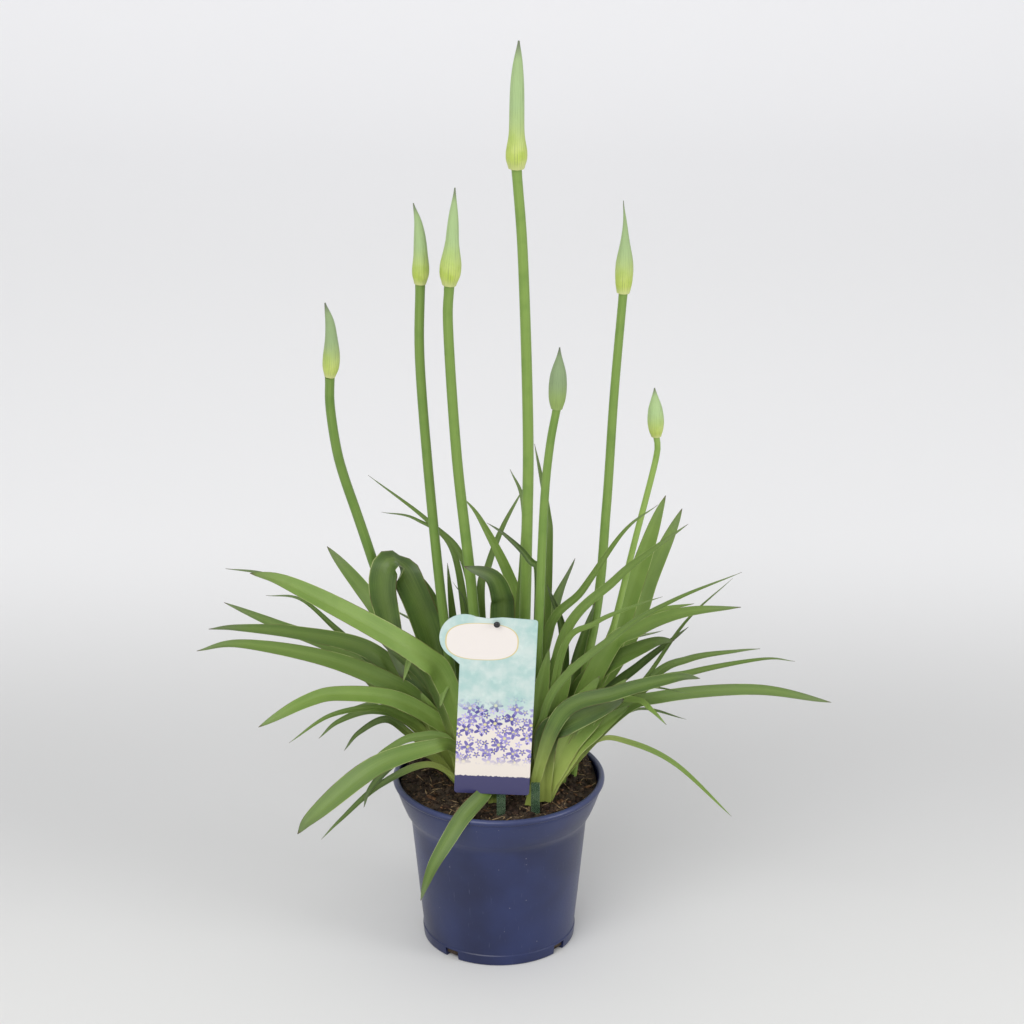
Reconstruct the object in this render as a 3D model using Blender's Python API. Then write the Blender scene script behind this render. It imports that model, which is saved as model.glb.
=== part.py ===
"""Potted agapanthus, about 0.75 m tall: grower pot, potting soil, seven budded
stems, strap leaves in fans, and a plant label on its stake. Metres, +Z up.
The origin is the middle of the pot's flat underside. -Y is the front."""

import math

import bpy
import bmesh
from mathutils import Vector

MM = 0.001
GAP = 0.3 * MM

# Pot: a plant pot 170 mm across its lip
POT_FOOT_R = 60 * MM
POT_LIP_R = 85 * MM
POT_HEIGHT = 142 * MM
POT_WALL = 1.6 * MM
POT_FLOOR = 2.4 * MM
POT_SIDES = 48
# Outer profile of the wall from the foot to the lip: radius, height
POT_WALL_LINE = [(60, 0), (60.6, 7), (64.3, 40), (67.5, 73), (71.2, 96), (75, 105), (78.2, 117), (82.2, 133)]
LIP_ROLL = 2.6 * MM
SLOT_WIDTH = 9.5 * MM
SLOT_HEIGHT = 5.8 * MM
SLOT_DEPTH = 9 * MM
# Drain slots round the foot, in degrees from the front, plus to the right
SLOT_ANGLES = (-98, -38, 52, 112, 187)

# Soil
SOIL_TOP = 138 * MM
SOIL_SHOULDER = 133 * MM
SOIL_SHOULDER_R = 74 * MM
SOIL_FLAT_R = 70 * MM
SEAT = SOIL_TOP + GAP

# Label card, its round-headed peg and the stakes
CARD_WIDTH = 59 * MM
CARD_BODY = 149 * MM
CARD_THICK = 0.8 * MM
CARD_LOBE_R = 19.5 * MM
CARD_FOOT = Vector((-2.5, -62, 152)) * MM
CARD_LEAN = math.radians(2.6)
STAKE_WIDTH = 7 * MM
STAKE_THICK = 2.2 * MM
STAKE_TOP = 299 * MM
PEG_R = 2.5 * MM
PEG_LENGTH = 4 * MM
SIDE_STAKE_HEIGHT = 34 * MM

# Every leaf and stem is laid out on the upright plane y = 0, as seen from the
# eye, then slid along the line of sight to its own depth.
EYE = Vector((10.6, -2500, 1400)) * MM

LEAF_STATIONS = 13
LEAF_THICK = 1.2 * MM
LEAF_TIP_WIDTH = 0.8 * MM
CHANNEL = 0.13
STEM_STATIONS = 11
STEM_SIDES = 8
BUD_STATIONS = 11
BUD_SIDES = 10

# Leaves: name, foot on the soil (x, y), depth of the tip, width, roll at foot
# and at tip in degrees, kind of point, then the way from foot to tip (across,
# up). All in mm.
LEAVES = [
    ("leaf_l01", (-14, -26), -100, 19, 10, 50, "blunt",
     [(-41, 220), (-62, 246), (-117, 281), (-168, 309), (-195, 317)]),
    ("leaf_l02", (-22, -20), -58, 12, 10, 40, "tail",
     [(-62, 240), (-117, 279), (-160, 305), (-186, 317), (-214, 321)]),
    ("leaf_l03", (-38, 23), 22, 9, 10, 30, "tail",
     [(-78, 213), (-107, 247), (-129, 270), (-156, 295), (-183, 298)]),
    ("leaf_l04", (-50, 38), 60, 14, 0, 30, "keen",
     [(-92, 217), (-122, 249), (-173, 272), (-216, 292)]),
    ("leaf_l05", (-46, 12), -35, 16, 10, 45, "keen",
     [(-70, 212), (-102, 250), (-157, 265), (-206, 270), (-229, 269)]),
    ("leaf_l06", (-34, -2), -70, 17, 10, 50, "keen",
     [(-60, 200), (-91, 224), (-141, 244), (-205, 256), (-239, 250)]),
    ("leaf_l07", (-26, -7), -85, 14, 10, 50, "blunt",
     [(-35, 175), (-79, 206), (-126, 212), (-154, 205), (-192, 183)]),
    ("leaf_l08", (-44, 5), -45, 9, 10, 50, "tail",
     [(-59, 178), (-79, 193), (-99, 200), (-135, 193), (-168, 169)]),
    ("leaf_l09", (-10, -34), -110, 19, 10, 50, "blunt",
     [(-34, 164), (-55, 165), (-100, 147), (-148, 105), (-163, 87)]),
    ("leaf_l10", (-34, -16), -45, 9, 10, 30, "keen",
     [(-56, 160), (-80, 155), (-103, 129), (-109, 111)]),
    ("leaf_l11", (-30, -25), -30, 9, 10, 50, "keen",
     [(-40, 167), (-67, 171), (-88, 163), (-106, 149)]),
    ("leaf_l12", (-36, 40), 80, 15, 0, 10, "blunt",
     [(-62, 225), (-90, 278), (-109, 307), (-134, 340)]),
    ("leaf_l13", (-38, 18), -6, 17, 0, 0, "keen",
     [(-42, 207), (-51, 276), (-63, 315), (-77, 330), (-87, 306), (-82, 262), (-77, 223)]),
    ("leaf_l14", (-28, 27), 36, 12, 0, 0, "keen",
     [(-45, 250), (-48, 285), (-60, 311), (-76, 325)]),
    ("leaf_l15", (-8, 22), 60, 9, 0, 0, "tail",
     [(-14, 230), (-26, 324), (-54, 361), (-101, 400)]),
    ("leaf_l16", (-14, 44), 100, 9, 0, 0, "tail",
     [(-22, 240), (-35, 335), (-64, 363), (-91, 369)]),
    ("leaf_c01", (24, 28), 50, 12, 0, 0, "keen",
     [(17, 276), (8, 316), (-14, 363), (-27, 381)]),
    ("leaf_c02", (-6, 40), 90, 8, 0, 0, "keen",
     [(-14, 294), (-8, 324), (3, 356), (20, 390)]),
    ("leaf_c03", (10, 22), 60, 10, 0, 0, "keen",
     [(20, 329), (19, 379), (9, 405)]),
    ("leaf_c04", (36, 32), 60, 9, 0, 0, "keen",
     [(39, 329), (38, 370), (28, 426)]),
    ("leaf_c05", (28, -6), -12, 9, 0, 0, "tail",
     [(32, 303), (24, 329), (5, 350), (-9, 360)]),
    ("leaf_c06", (4, -14), -24, 20, 0, 0, "blunt",
     [(3, 278), (3, 296), (-5, 315), (-27, 323)]),
    ("leaf_c07", (42, 12), 20, 10, 0, 0, "keen",
     [(49, 207), (51, 265), (38, 308)]),
    ("leaf_r01", (32, -18), -40, 10, 0, 10, "tail",
     [(38, 262), (66, 303), (98, 353), (124, 375)]),
    ("leaf_r02", (38, -26), -75, 9, 0, 20, "keen",
     [(50, 259), (92, 312), (119, 336), (148, 359)]),
    ("leaf_r03", (58, 14), 40, 16, 0, 0, "blunt",
     [(88, 250), (105, 303), (123, 363), (130, 383)]),
    ("leaf_r04", (64, 26), 80, 15, 0, 0, "blunt",
     [(101, 259), (120, 316), (143, 372)]),
    ("leaf_r05", (36, -34), -100, 8, 0, 40, "tail",
     [(50, 248), (76, 274), (107, 289), (129, 297)]),
    ("leaf_r06", (34, -44), -116, 8, 0, 40, "tail",
     [(40, 208), (94, 265), (138, 294), (191, 318)]),
    ("leaf_r07", (44, -30), -88, 17, 10, 50, "keen",
     [(83, 244), (112, 269), (147, 283), (191, 288)]),
    ("leaf_r08", (46, -20), -55, 16, 10, 50, "blunt",
     [(61, 208), (85, 236), (121, 256), (139, 259)]),
    ("leaf_r09", (57, -10), -25, 9, 10, 30, "keen",
     [(82, 208), (112, 238), (150, 271)]),
    ("leaf_r10", (62, -17), 20, 11, 10, 40, "tail",
     [(118, 223), (151, 243), (189, 250), (207, 252)]),
    ("leaf_r11", (50, -26), -65, 9, 10, 40, "tail",
     [(112, 214), (152, 231), (209, 243), (235, 241)]),
    ("leaf_r12", (24, -49), -110, 13, 10, 50, "blunt",
     [(49, 193), (94, 213), (140, 226), (160, 226)]),
    ("leaf_r13", (55, -33), -66, 10, 10, 40, "blunt",
     [(96, 195), (131, 210), (204, 216), (265, 205)]),
    ("leaf_r14", (53, -45), -98, 9, 10, 50, "keen",
     [(80, 199), (109, 207), (122, 198), (134, 185)]),
    ("leaf_r15", (44, -42), -44, 17, 10, 15, "blunt",
     [(50, 172), (67, 187), (96, 202)]),
    ("leaf_r16", (68, -6), 60, 5, 10, 40, "keen",
     [(78, 171), (104, 170), (142, 150), (188, 103)]),
]
# The front leaf bends over the lip of the pot: across, up and depth
FRONT_LEAF = ("leaf_front", (-8, -46), 13, 20, 30, "keen",
              [(-8, 115, -56), (-19, 108, -75), (-36, 90, -91), (-48, 70, -98), (-62, 36, -102)])
# How sharply each kind of leaf point narrows
POINTS = {"blunt": 7, "keen": 3.2, "tail": 1.7}

# Stems with their buds: number, foot, depth at the top, diameter at foot and
# top, route (across, up), then the bud's middle and tip and its width.
STEMS = [
    (1, (-46, 30), 10, 8.5, 7.3,
     [(-78, 259), (-107, 357), (-121, 414), (-129, 481)], (-128, 510), (-127, 541), 13),
    (2, (-30, 8), 0, 8.0, 7.4,
     [(-46, 306), (-55, 414), (-60, 498), (-59, 556)], (-58, 590), (-60, 620), 13),
    (3, (-8, -2), -10, 8.8, 7.6,
     [(-21, 302), (-32, 414), (-38, 519), (-37, 555)], (-34, 592), (-31, 632), 17),
    (4, (18, 8), 8, 9.6, 7.6, [(22, 339), (23, 436), (19, 574), (14, 647)], (14, 690), (15, 745), 17),
    (5, (27, -30), -30, 8.4, 6.2, [(33, 306), (36, 382), (40, 425), (45, 455)], (46, 480), (47, 505), 14),
    (6, (50, -6), -4, 8.0, 6.6, [(76, 276), (84, 372), (89, 466), (94, 549)], (94, 585), (95, 622), 14),
    (7, (60, 4), 10, 5.4, 4.8, [(88, 259), (106, 342), (122, 414), (122, 432)], (121, 452), (120, 472), 13),
]
# Bud outline: how far along, and the radius as a share of the widest
BUD_OUTLINE = [(0, 0.5), (0.07, 0.8), (0.17, 1.0), (0.28, 0.93), (0.4, 0.68), (0.52, 0.5), (0.65, 0.42),
               (0.78, 0.32), (0.88, 0.2), (0.95, 0.12), (1, 0.05)]

SURFACES = {
    "pot": ((0.05, 0.06, 0.13), 0.35),
    "soil": ((0.04, 0.025, 0.015), 0.95),
    "leaf": ((0.13, 0.27, 0.05), 0.45),
    "stem": ((0.14, 0.30, 0.06), 0.5),
    "bud": ((0.45, 0.60, 0.22), 0.5),
    "card": ((0.55, 0.75, 0.74), 0.4),
    "stake": ((0.20, 0.35, 0.25), 0.3),
    "peg": ((0.02, 0.02, 0.02), 0.4),
}


def clear_scene():
    for obj in list(bpy.data.objects):
        bpy.data.objects.remove(obj)


def surface(name):
    """One plain Principled material for each kind of piece."""
    mat = bpy.data.materials.get(name)
    if mat is None:
        mat = bpy.data.materials.new(name)
        mat.use_nodes = True
        colour, rough = SURFACES[name]
        shader = mat.node_tree.nodes["Principled BSDF"]
        shader.inputs["Base Color"].default_value = (*colour, 1)
        shader.inputs["Roughness"].default_value = rough
        shader.inputs["Metallic"].default_value = 0
    return mat


def add_object(name, bm, surface_name):
    bmesh.ops.recalc_face_normals(bm, faces=bm.faces)
    mesh = bpy.data.meshes.new(name)
    bm.to_mesh(mesh)
    bm.free()
    mesh.shade_smooth()
    mesh.set_sharp_from_angle(angle=math.radians(40))
    mesh.materials.append(surface(surface_name))
    obj = bpy.data.objects.new(name, mesh)
    bpy.context.scene.collection.objects.link(obj)
    return obj


def along_sight(across, up, depth):
    """The point seen at (across, up) on the plane y = 0, slid to a depth."""
    on_plane = Vector((across, 0, up)) * MM
    reach = (depth * MM - EYE.y) / -EYE.y
    return EYE + (on_plane - EYE) * reach


def curve_points(knots, count):
    """Evenly spaced points of a smooth curve through the knots, which leaves
    the first knot straight up."""
    first = knots[0]
    last = knots[-1]
    below = first - Vector((0, 0, (knots[1] - first).length))
    chain = [below] + list(knots) + [last + (last - knots[-2])]
    fine = []
    steps = 24
    for k in range(1, len(chain) - 2):
        a, b, c, d = chain[k - 1:k + 3]
        for s in range(steps):
            u = s / steps
            point = 0.5 * (2 * b + (c - a) * u + (2 * a - 5 * b + 4 * c - d) * u ** 2
                           + (3 * b - a - 3 * c + d) * u ** 3)
            fine.append(point)
    fine.append(last)
    lengths = [0.0]
    for a, b in zip(fine, fine[1:]):
        lengths.append(lengths[-1] + (b - a).length)
    points = []
    seg = 0
    for i in range(count):
        target = lengths[-1] * i / (count - 1)
        while seg < len(fine) - 2 and lengths[seg + 1] < target:
            seg += 1
        span = lengths[seg + 1] - lengths[seg]
        points.append(fine[seg].lerp(fine[seg + 1], (target - lengths[seg]) / span))
    return points


def tangents(points):
    found = []
    for i in range(len(points)):
        before = points[max(i - 1, 0)]
        after = points[min(i + 1, len(points) - 1)]
        found.append((after - before).normalized())
    found[0] = Vector((0, 0, 1))
    return found


def skin_rings(bm, rings):
    """Join rings of points into one closed skin with flat ends."""
    loops = [[bm.verts.new(p) for p in ring] for ring in rings]
    for low, high in zip(loops, loops[1:]):
        for k in range(len(low)):
            m = (k + 1) % len(low)
            bm.faces.new((low[k], low[m], high[m], high[k]))
    bm.faces.new(loops[0][::-1])
    bm.faces.new(loops[-1])


def skin_blade(bm, rings):
    """Join rings of edge, underside, edge and top into one thin closed skin.
    Top and underside are split along the same diagonals, from edge to middle,
    so that a twisting blade never passes through itself."""
    loops = [[bm.verts.new(p) for p in ring] for ring in rings]
    for low, high in zip(loops, loops[1:]):
        for edge in (0, 2):
            for middle in (1, 3):
                bm.faces.new((low[edge], low[middle], high[middle]))
                bm.faces.new((low[edge], high[middle], high[edge]))
    bm.faces.new(loops[0][::-1])
    bm.faces.new(loops[-1])


def smooth(x):
    x = max(0.0, min(1.0, x))
    return x * x * (3 - 2 * x)


def leaf_share(t, point):
    """Width of a strap leaf along its length, as a share of the widest."""
    return (0.6 + 0.4 * smooth(t / 0.3)) * (1 - t ** POINTS[point]) ** 0.85


def blade_frame(tangent, roll):
    """Across and upper-face directions of a blade, for a roll from facing the
    front (0) to facing up (90 degrees)."""
    facing = Vector((0, -math.cos(roll), math.sin(roll)))
    across = facing.cross(tangent).normalized()
    return across, tangent.cross(across)


def add_leaf(name, knots, width, roll_foot, roll_tip, kind):
    points = curve_points(knots, LEAF_STATIONS)
    rings = []
    for i, (point, tangent) in enumerate(zip(points, tangents(points))):
        t = i / (LEAF_STATIONS - 1)
        roll = math.radians(roll_foot + (roll_tip - roll_foot) * smooth(t * 1.4))
        across, up = blade_frame(tangent, roll)
        half = max(width * MM * leaf_share(t, kind), LEAF_TIP_WIDTH) / 2
        thick = LEAF_THICK * (1 - 0.5 * t) / 2
        edge = up * half * 2 * CHANNEL
        rings.append([point - across * half + edge, point - up * thick,
                      point + across * half + edge, point + up * thick])
    for corner in rings[0]:
        corner.z = SEAT
    bm = bmesh.new()
    skin_blade(bm, rings)
    return add_object(name, bm, "leaf")


def leaf_knots(foot, tip_depth, route):
    knots = [Vector((foot[0] * MM, foot[1] * MM, SEAT))]
    count = len(route)
    for i, (across, up) in enumerate(route):
        share = ((i + 1) / count) ** 1.2
        knots.append(along_sight(across, up, foot[1] + (tip_depth - foot[1]) * share))
    return knots


def add_leaves():
    for name, foot, tip_depth, width, roll_foot, roll_tip, kind, route in LEAVES:
        add_leaf(name, leaf_knots(foot, tip_depth, route), width, roll_foot, roll_tip, kind)
    name, foot, width, roll_foot, roll_tip, kind, route = FRONT_LEAF
    knots = [Vector((foot[0] * MM, foot[1] * MM, SEAT))]
    knots += [along_sight(*place) for place in route]
    add_leaf(name, knots, width, roll_foot, roll_tip, kind)


def round_ring(point, tangent, radius, sides):
    across, up = blade_frame(tangent, math.radians(20))
    ring = []
    for k in range(sides):
        turn = 2 * math.pi * k / sides
        ring.append(point + (across * math.cos(turn) + up * math.sin(turn)) * radius)
    return ring


def add_stems():
    for number, foot, depth, low, high, route, bud_mid, bud_tip, bud_width in STEMS:
        knots = leaf_knots(foot, depth, route)
        points = curve_points(knots, STEM_STATIONS)
        rings = []
        for i, (point, tangent) in enumerate(zip(points, tangents(points))):
            radius = (low + (high - low) * i / (STEM_STATIONS - 1)) * MM / 2
            rings.append(round_ring(point, tangent, radius, STEM_SIDES))
        for corner in rings[0]:
            corner.z = SEAT
        bm = bmesh.new()
        skin_rings(bm, rings)
        add_object(f"stem_{number}", bm, "stem")
        top_way = (points[-1] - points[-2]).normalized()
        add_bud(number, points[-1] + top_way * GAP, top_way, depth, bud_mid, bud_tip, bud_width)


def add_bud(number, seat, way, depth, middle, tip, width):
    """A papery bud case: a bulb over the stem's end, then a long beak."""
    middle = along_sight(*middle, depth)
    tip = along_sight(*tip, depth)
    knots = [seat, middle, tip]
    rings = []
    for share, girth in BUD_OUTLINE:
        low = knots[0].lerp(knots[1], share)
        high = knots[1].lerp(knots[2], share)
        point = low.lerp(high, share)
        tangent = (high - low).normalized()
        if share == 0:
            tangent = way
        rings.append(round_ring(point, tangent, girth * width * MM / 2, BUD_SIDES))
    bm = bmesh.new()
    skin_rings(bm, rings)
    add_object(f"bud_{number}", bm, "bud")


def turned(profile, sides):
    """A closed solid of revolution from an outline that starts and ends on
    the axis."""
    bm = bmesh.new()
    loops = []
    for radius, height in profile[1:-1]:
        loops.append([bm.verts.new((radius * math.cos(2 * math.pi * k / sides),
                                    radius * math.sin(2 * math.pi * k / sides), height))
                      for k in range(sides)])
    for low, high in zip(loops, loops[1:]):
        for k in range(sides):
            m = (k + 1) % sides
            bm.faces.new((low[k], low[m], high[m], high[k]))
    bm.faces.new(loops[0][::-1])
    bm.faces.new(loops[-1])
    return bm


def pot_profile():
    outer = [(r * MM, z * MM) for r, z in POT_WALL_LINE]
    centre = (POT_LIP_R - LIP_ROLL, POT_HEIGHT - LIP_ROLL)
    lip = []
    for degrees in (-30, 15, 60, 105, 150):
        turn = math.radians(degrees)
        lip.append((centre[0] + LIP_ROLL * math.cos(turn), centre[1] + LIP_ROLL * math.sin(turn)))
    inner = [(r - POT_WALL, max(z, POT_FLOOR)) for r, z in reversed(outer)]
    return [(0, 0)] + outer + lip + inner + [(0, POT_FLOOR)]


def add_pot():
    pot = add_object("pot", turned(pot_profile(), POT_SIDES), "pot")
    cutters = []
    for k, degrees in enumerate(SLOT_ANGLES):
        turn = math.radians(degrees - 90)
        out = Vector((math.cos(turn), math.sin(turn), 0))
        bm = bmesh.new()
        bmesh.ops.create_cube(bm, size=1)
        bmesh.ops.scale(bm, vec=(SLOT_DEPTH, SLOT_WIDTH, 2 * SLOT_HEIGHT), verts=bm.verts)
        cutter = add_object(f"slot_cutter_{k}", bm, "pot")
        cutter.location = out * POT_FOOT_R
        cutter.rotation_euler.z = turn
        cutter.hide_render = True
        cutter.display_type = "WIRE"
        cutters.append(cutter)
    for cutter in cutters:
        cut = pot.modifiers.new(cutter.name, "BOOLEAN")
        cut.operation = "DIFFERENCE"
        cut.object = cutter
    return pot


def add_soil():
    """Potting soil as one block, clear of the wall and the foot slots."""
    profile = [(0, POT_FLOOR + GAP)]
    for r, z in POT_WALL_LINE:
        height = max(z * MM, POT_FLOOR + GAP)
        if height < SOIL_SHOULDER:
            profile.append((r * MM - POT_WALL - GAP * 1.5, height))
    profile.append((SOIL_SHOULDER_R, SOIL_SHOULDER - 3 * MM))
    profile.append((SOIL_SHOULDER_R, SOIL_SHOULDER))
    profile.append((SOIL_FLAT_R, SOIL_TOP))
    profile.append((0, SOIL_TOP))
    add_object("soil", turned(profile, POT_SIDES), "soil")


def card_outline():
    """Card with square foot corners and a round lobe at the top left."""
    half = CARD_WIDTH / 2
    points = [(-half, 0), (half, 0), (half, CARD_BODY + 2 * MM), (2 * MM, CARD_BODY + 3 * MM)]
    centre = (-half + 3 * MM, CARD_BODY - 15 * MM)
    for degrees in range(30, 240, 15):
        turn = math.radians(degrees)
        points.append((centre[0] + CARD_LOBE_R * math.cos(turn), centre[1] + CARD_LOBE_R * math.sin(turn)))
    points.append((-half, CARD_BODY - 38 * MM))
    return points


def add_plate(name, outline, thick, surface_name):
    """An upright plate in the x-z plane, its front face at y = 0."""
    bm = bmesh.new()
    front = [bm.verts.new((x, 0, z)) for x, z in outline]
    back = [bm.verts.new((x, thick, z)) for x, z in outline]
    bm.faces.new(front)
    bm.faces.new(back[::-1])
    for k in range(len(front)):
        m = (k + 1) % len(front)
        bm.faces.new((front[k], back[k], back[m], front[m]))
    return add_object(name, bm, surface_name)


def add_label():
    card = add_plate("label_card", card_outline(), CARD_THICK, "card")
    card.location = CARD_FOOT
    card.rotation_euler.y = CARD_LEAN
    stake_y = CARD_FOOT.y + CARD_THICK + GAP
    half = STAKE_WIDTH / 2
    rise = STAKE_TOP - SEAT
    outline = [(-half, 0), (half, 0), (half, rise), (-half, rise)]
    stake = add_plate("label_stake", outline, STAKE_THICK, "stake")
    stake.location = Vector((2 * MM, stake_y, SEAT))
    bm = bmesh.new()
    bmesh.ops.create_cone(bm, cap_ends=True, segments=12, radius1=PEG_R, radius2=PEG_R * 0.6,
                          depth=PEG_LENGTH)
    peg = add_object("label_peg", bm, "peg")
    peg.rotation_euler.x = math.radians(90)
    peg.location = Vector((-1 * MM, CARD_FOOT.y - GAP - PEG_LENGTH / 2, STAKE_TOP - 4 * MM))
    rise = SIDE_STAKE_HEIGHT
    outline = [(-half, 0), (half, 0), (half, rise), (-half, rise)]
    side = add_plate("side_stake", outline, STAKE_THICK, "stake")
    side.location = Vector((29 * MM, -60.4 * MM, SEAT))


def build():
    clear_scene()
    add_pot()
    add_soil()
    add_label()
    add_stems()
    add_leaves()


build()
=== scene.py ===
# %% [markdown]
# # A budded agapanthus in its grower pot
# The packed model is the fixed frame: it says how big everything is and where
# it stands. This lesson dresses it. Each leaf, stem and bud is swept along its
# own path by a Geometry Nodes tree, because a strap leaf is a rule: one cross
# section, carried along a bending midrib and narrowed to a point. The pot is
# turned from its profile, the soil is a heaped surface with scattered crumbs,
# and every finish is made of shader nodes.

# %% Load the frame
import math

import bpy
import bmesh
import numpy as np
from mathutils import Matrix, Vector, noise


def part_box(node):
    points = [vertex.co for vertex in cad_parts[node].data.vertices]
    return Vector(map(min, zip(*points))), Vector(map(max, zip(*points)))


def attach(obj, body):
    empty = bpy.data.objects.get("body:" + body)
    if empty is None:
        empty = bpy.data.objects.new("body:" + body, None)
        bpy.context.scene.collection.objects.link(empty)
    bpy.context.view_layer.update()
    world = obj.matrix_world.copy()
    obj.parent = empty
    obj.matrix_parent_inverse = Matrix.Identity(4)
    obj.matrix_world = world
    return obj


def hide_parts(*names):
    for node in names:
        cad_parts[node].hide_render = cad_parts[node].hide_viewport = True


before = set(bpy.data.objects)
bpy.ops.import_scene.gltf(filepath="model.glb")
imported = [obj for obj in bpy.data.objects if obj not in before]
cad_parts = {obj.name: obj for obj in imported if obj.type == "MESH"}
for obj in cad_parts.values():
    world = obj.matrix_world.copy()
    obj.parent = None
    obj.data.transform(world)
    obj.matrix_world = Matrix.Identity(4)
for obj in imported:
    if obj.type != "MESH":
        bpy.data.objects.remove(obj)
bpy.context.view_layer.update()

MM = 0.001
GAP = 0.3 * MM
print("frame nodes:", len(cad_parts))

# %% [markdown]
# ## Where the eye stands
# Leaves and stems were measured on an upright plane through the pot's axis, as
# seen from the eye. Sliding a point along its line of sight gives it depth and
# leaves it at the same place in the picture. The camera stands at that eye, a
# little above the plant and looking down on it, with a long lens.

# %% Camera
EYE = Vector((10.6, -2500, 1400)) * MM
LOOK_DOWN = math.radians(22.41)
LENS = 122.1
SENSOR = 36



def add_object(name, data):
    """A new object, linked into the scene."""
    made = bpy.data.objects.new(name, data)
    bpy.context.scene.collection.objects.link(made)
    return made


camera_data = bpy.data.cameras.new("camera")
camera_data.lens = LENS
camera_data.sensor_width = SENSOR
camera = add_object("camera", camera_data)
camera.location = EYE
camera.rotation_euler = (math.pi / 2 - LOOK_DOWN, 0, 0)
bpy.context.scene.camera = camera
bpy.context.scene.view_settings.view_transform = "Standard"


def along_sight(across, up, depth):
    """The point seen at (across, up) on the plane y = 0, slid to a depth, mm."""
    on_plane = Vector((across, 0, up)) * MM
    reach = (depth * MM - EYE.y) / -EYE.y
    return EYE + (on_plane - EYE) * reach


print("camera looks down", round(math.degrees(LOOK_DOWN), 1), "degrees")

# %% [markdown]
# ## Small helpers for node trees
# Shader and geometry trees are built the same way: make a node, fill its
# sockets with values or wires, take its output. `Nodes` holds one tree, and its
# `put` does that in one line. `calc` is a Math node, `mix` blends two colours,
# and `ramp` is a smooth step.

# %% Node helpers
FLOAT, NGEO, NMAT = "NodeSocketFloat", "NodeSocketGeometry", "NodeSocketMaterial"


def linear(colour):
    """A screen colour, 0 to 255, as the linear colour that shaders use."""
    parts = [value / 255 for value in colour]
    return tuple(p / 12.92 if p <= 0.04045 else ((p + 0.055) / 1.055) ** 2.4 for p in parts)


class Nodes:
    """One node tree and short ways to add to it. Each gives an output."""

    def __init__(self, tree):
        self.tree = tree

    def link(self, value, socket):
        self.tree.links.new(value, socket)

    def put(self, kind, sockets=None, out=0, **settings):
        """Add a node, set it up, wire or fill its sockets, and give one output."""
        node = self.tree.nodes.new(kind if "Node" in kind else "ShaderNode" + kind)
        for key, value in settings.items():
            setattr(node, key, value)
        for key, value in (sockets or {}).items():
            if isinstance(value, bpy.types.NodeSocket):
                self.link(value, node.inputs[key])
            else:
                node.inputs[key].default_value = value
        return node.outputs[out] if out is not None else node

    def calc(self, operation, *values):
        return self.put("Math", dict(enumerate(values)), operation=operation)

    def times(self, *values):
        return self.calc("MULTIPLY", *values)

    def mix(self, share, low, high):
        """Two colours blended; a bare one is a screen colour."""
        ends = [value if isinstance(value, bpy.types.NodeSocket) else (*linear(value), 1)
                for value in (low, high)]
        return self.put("Mix", {0: share, 6: ends[0], 7: ends[1]}, 2, data_type="RGBA")

    def layers(self, colour, *coats):
        """A colour with coats over it: (share, colour) each."""
        for share, coat in coats:
            colour = self.mix(share, colour, coat)
        return colour

    def ramp(self, value, low, high, to_low=0.0, to_high=1.0):
        """A smooth step of a value between two limits."""
        return self.put("MapRange", {0: value, 1: low, 2: high, 3: to_low, 4: to_high},
                        interpolation_type="SMOOTHSTEP")

    def noise(self, where, scale, detail, roughness=0.5):
        return self.put("TexNoise", {"Vector": where, "Scale": scale, "Detail": detail,
                                     "Roughness": roughness})

    def scaled(self, vector, scale):
        return self.put("VectorMath", {0: vector, "Scale": scale}, operation="SCALE")

    def circle(self, sides):
        """A profile circle whose radius is 1."""
        return self.put("GeometryNodeCurvePrimitiveCircle", {"Resolution": sides, "Radius": 1.0},
                        mode="RADIUS")

    def parts(self, vector):
        """The first two parts of a vector."""
        return self.put("SeparateXYZ", {0: vector}, None).outputs[:2]

    def uv(self):
        """The piece's own UV map: the vector, then its two parts."""
        vector = self.put("UVMap", uv_map="UVMap")
        return vector, *self.parts(vector)

    def place(self):
        return self.put("TexCoord", out="Object")

    def fact(self, name):
        """A number that the piece's mesh carries."""
        return self.put("Attribute", out="Fac", attribute_name=name)

    def use(self, group, **values):
        """Place a shared group with its own values, and give its outputs."""
        node = self.put("Group", None, None, node_tree=group)
        for key, value in values.items():
            node.inputs[key].default_value = value
        return node.outputs[:2]

    def catch(self, geometry, **values):
        """Capture values on a geometry; gives it, then what was captured."""
        node = self.put("GeometryNodeCaptureAttribute", None, None)
        self.link(geometry, node.inputs["Geometry"])
        for name in values:
            node.capture_items.new("FLOAT", name)
        for name, value in values.items():
            self.link(value, node.inputs[name])
        return [node.outputs[name] for name in ("Geometry", *values)]

    def store(self, mesh, name, value, data_type="FLOAT", domain="POINT"):
        return self.put("GeometryNodeStoreNamedAttribute", {"Geometry": mesh, "Name": name, "Value": value},
                        data_type=data_type, domain=domain)

    def finish(self, geometry, given, gives):
        """Plain mesh with its material, as every geometry tree here ends."""
        real = self.put("GeometryNodeRealizeInstances", {"Geometry": geometry})
        done = self.put("GeometryNodeSetMaterial", {"Geometry": real, "Material": given["Material"]})
        self.link(done, gives["Geometry"])
        return self.tree


print("tree helpers:", [name for name in vars(Nodes) if name[0] != "_"])

# %% [markdown]
# ## Groups and materials
# A node group gets its named inputs and outputs through its interface. A
# material here comes with one function, `wire`, which joins a colour, a
# roughness and a height to its shader.

# %% Group and material helpers


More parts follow.
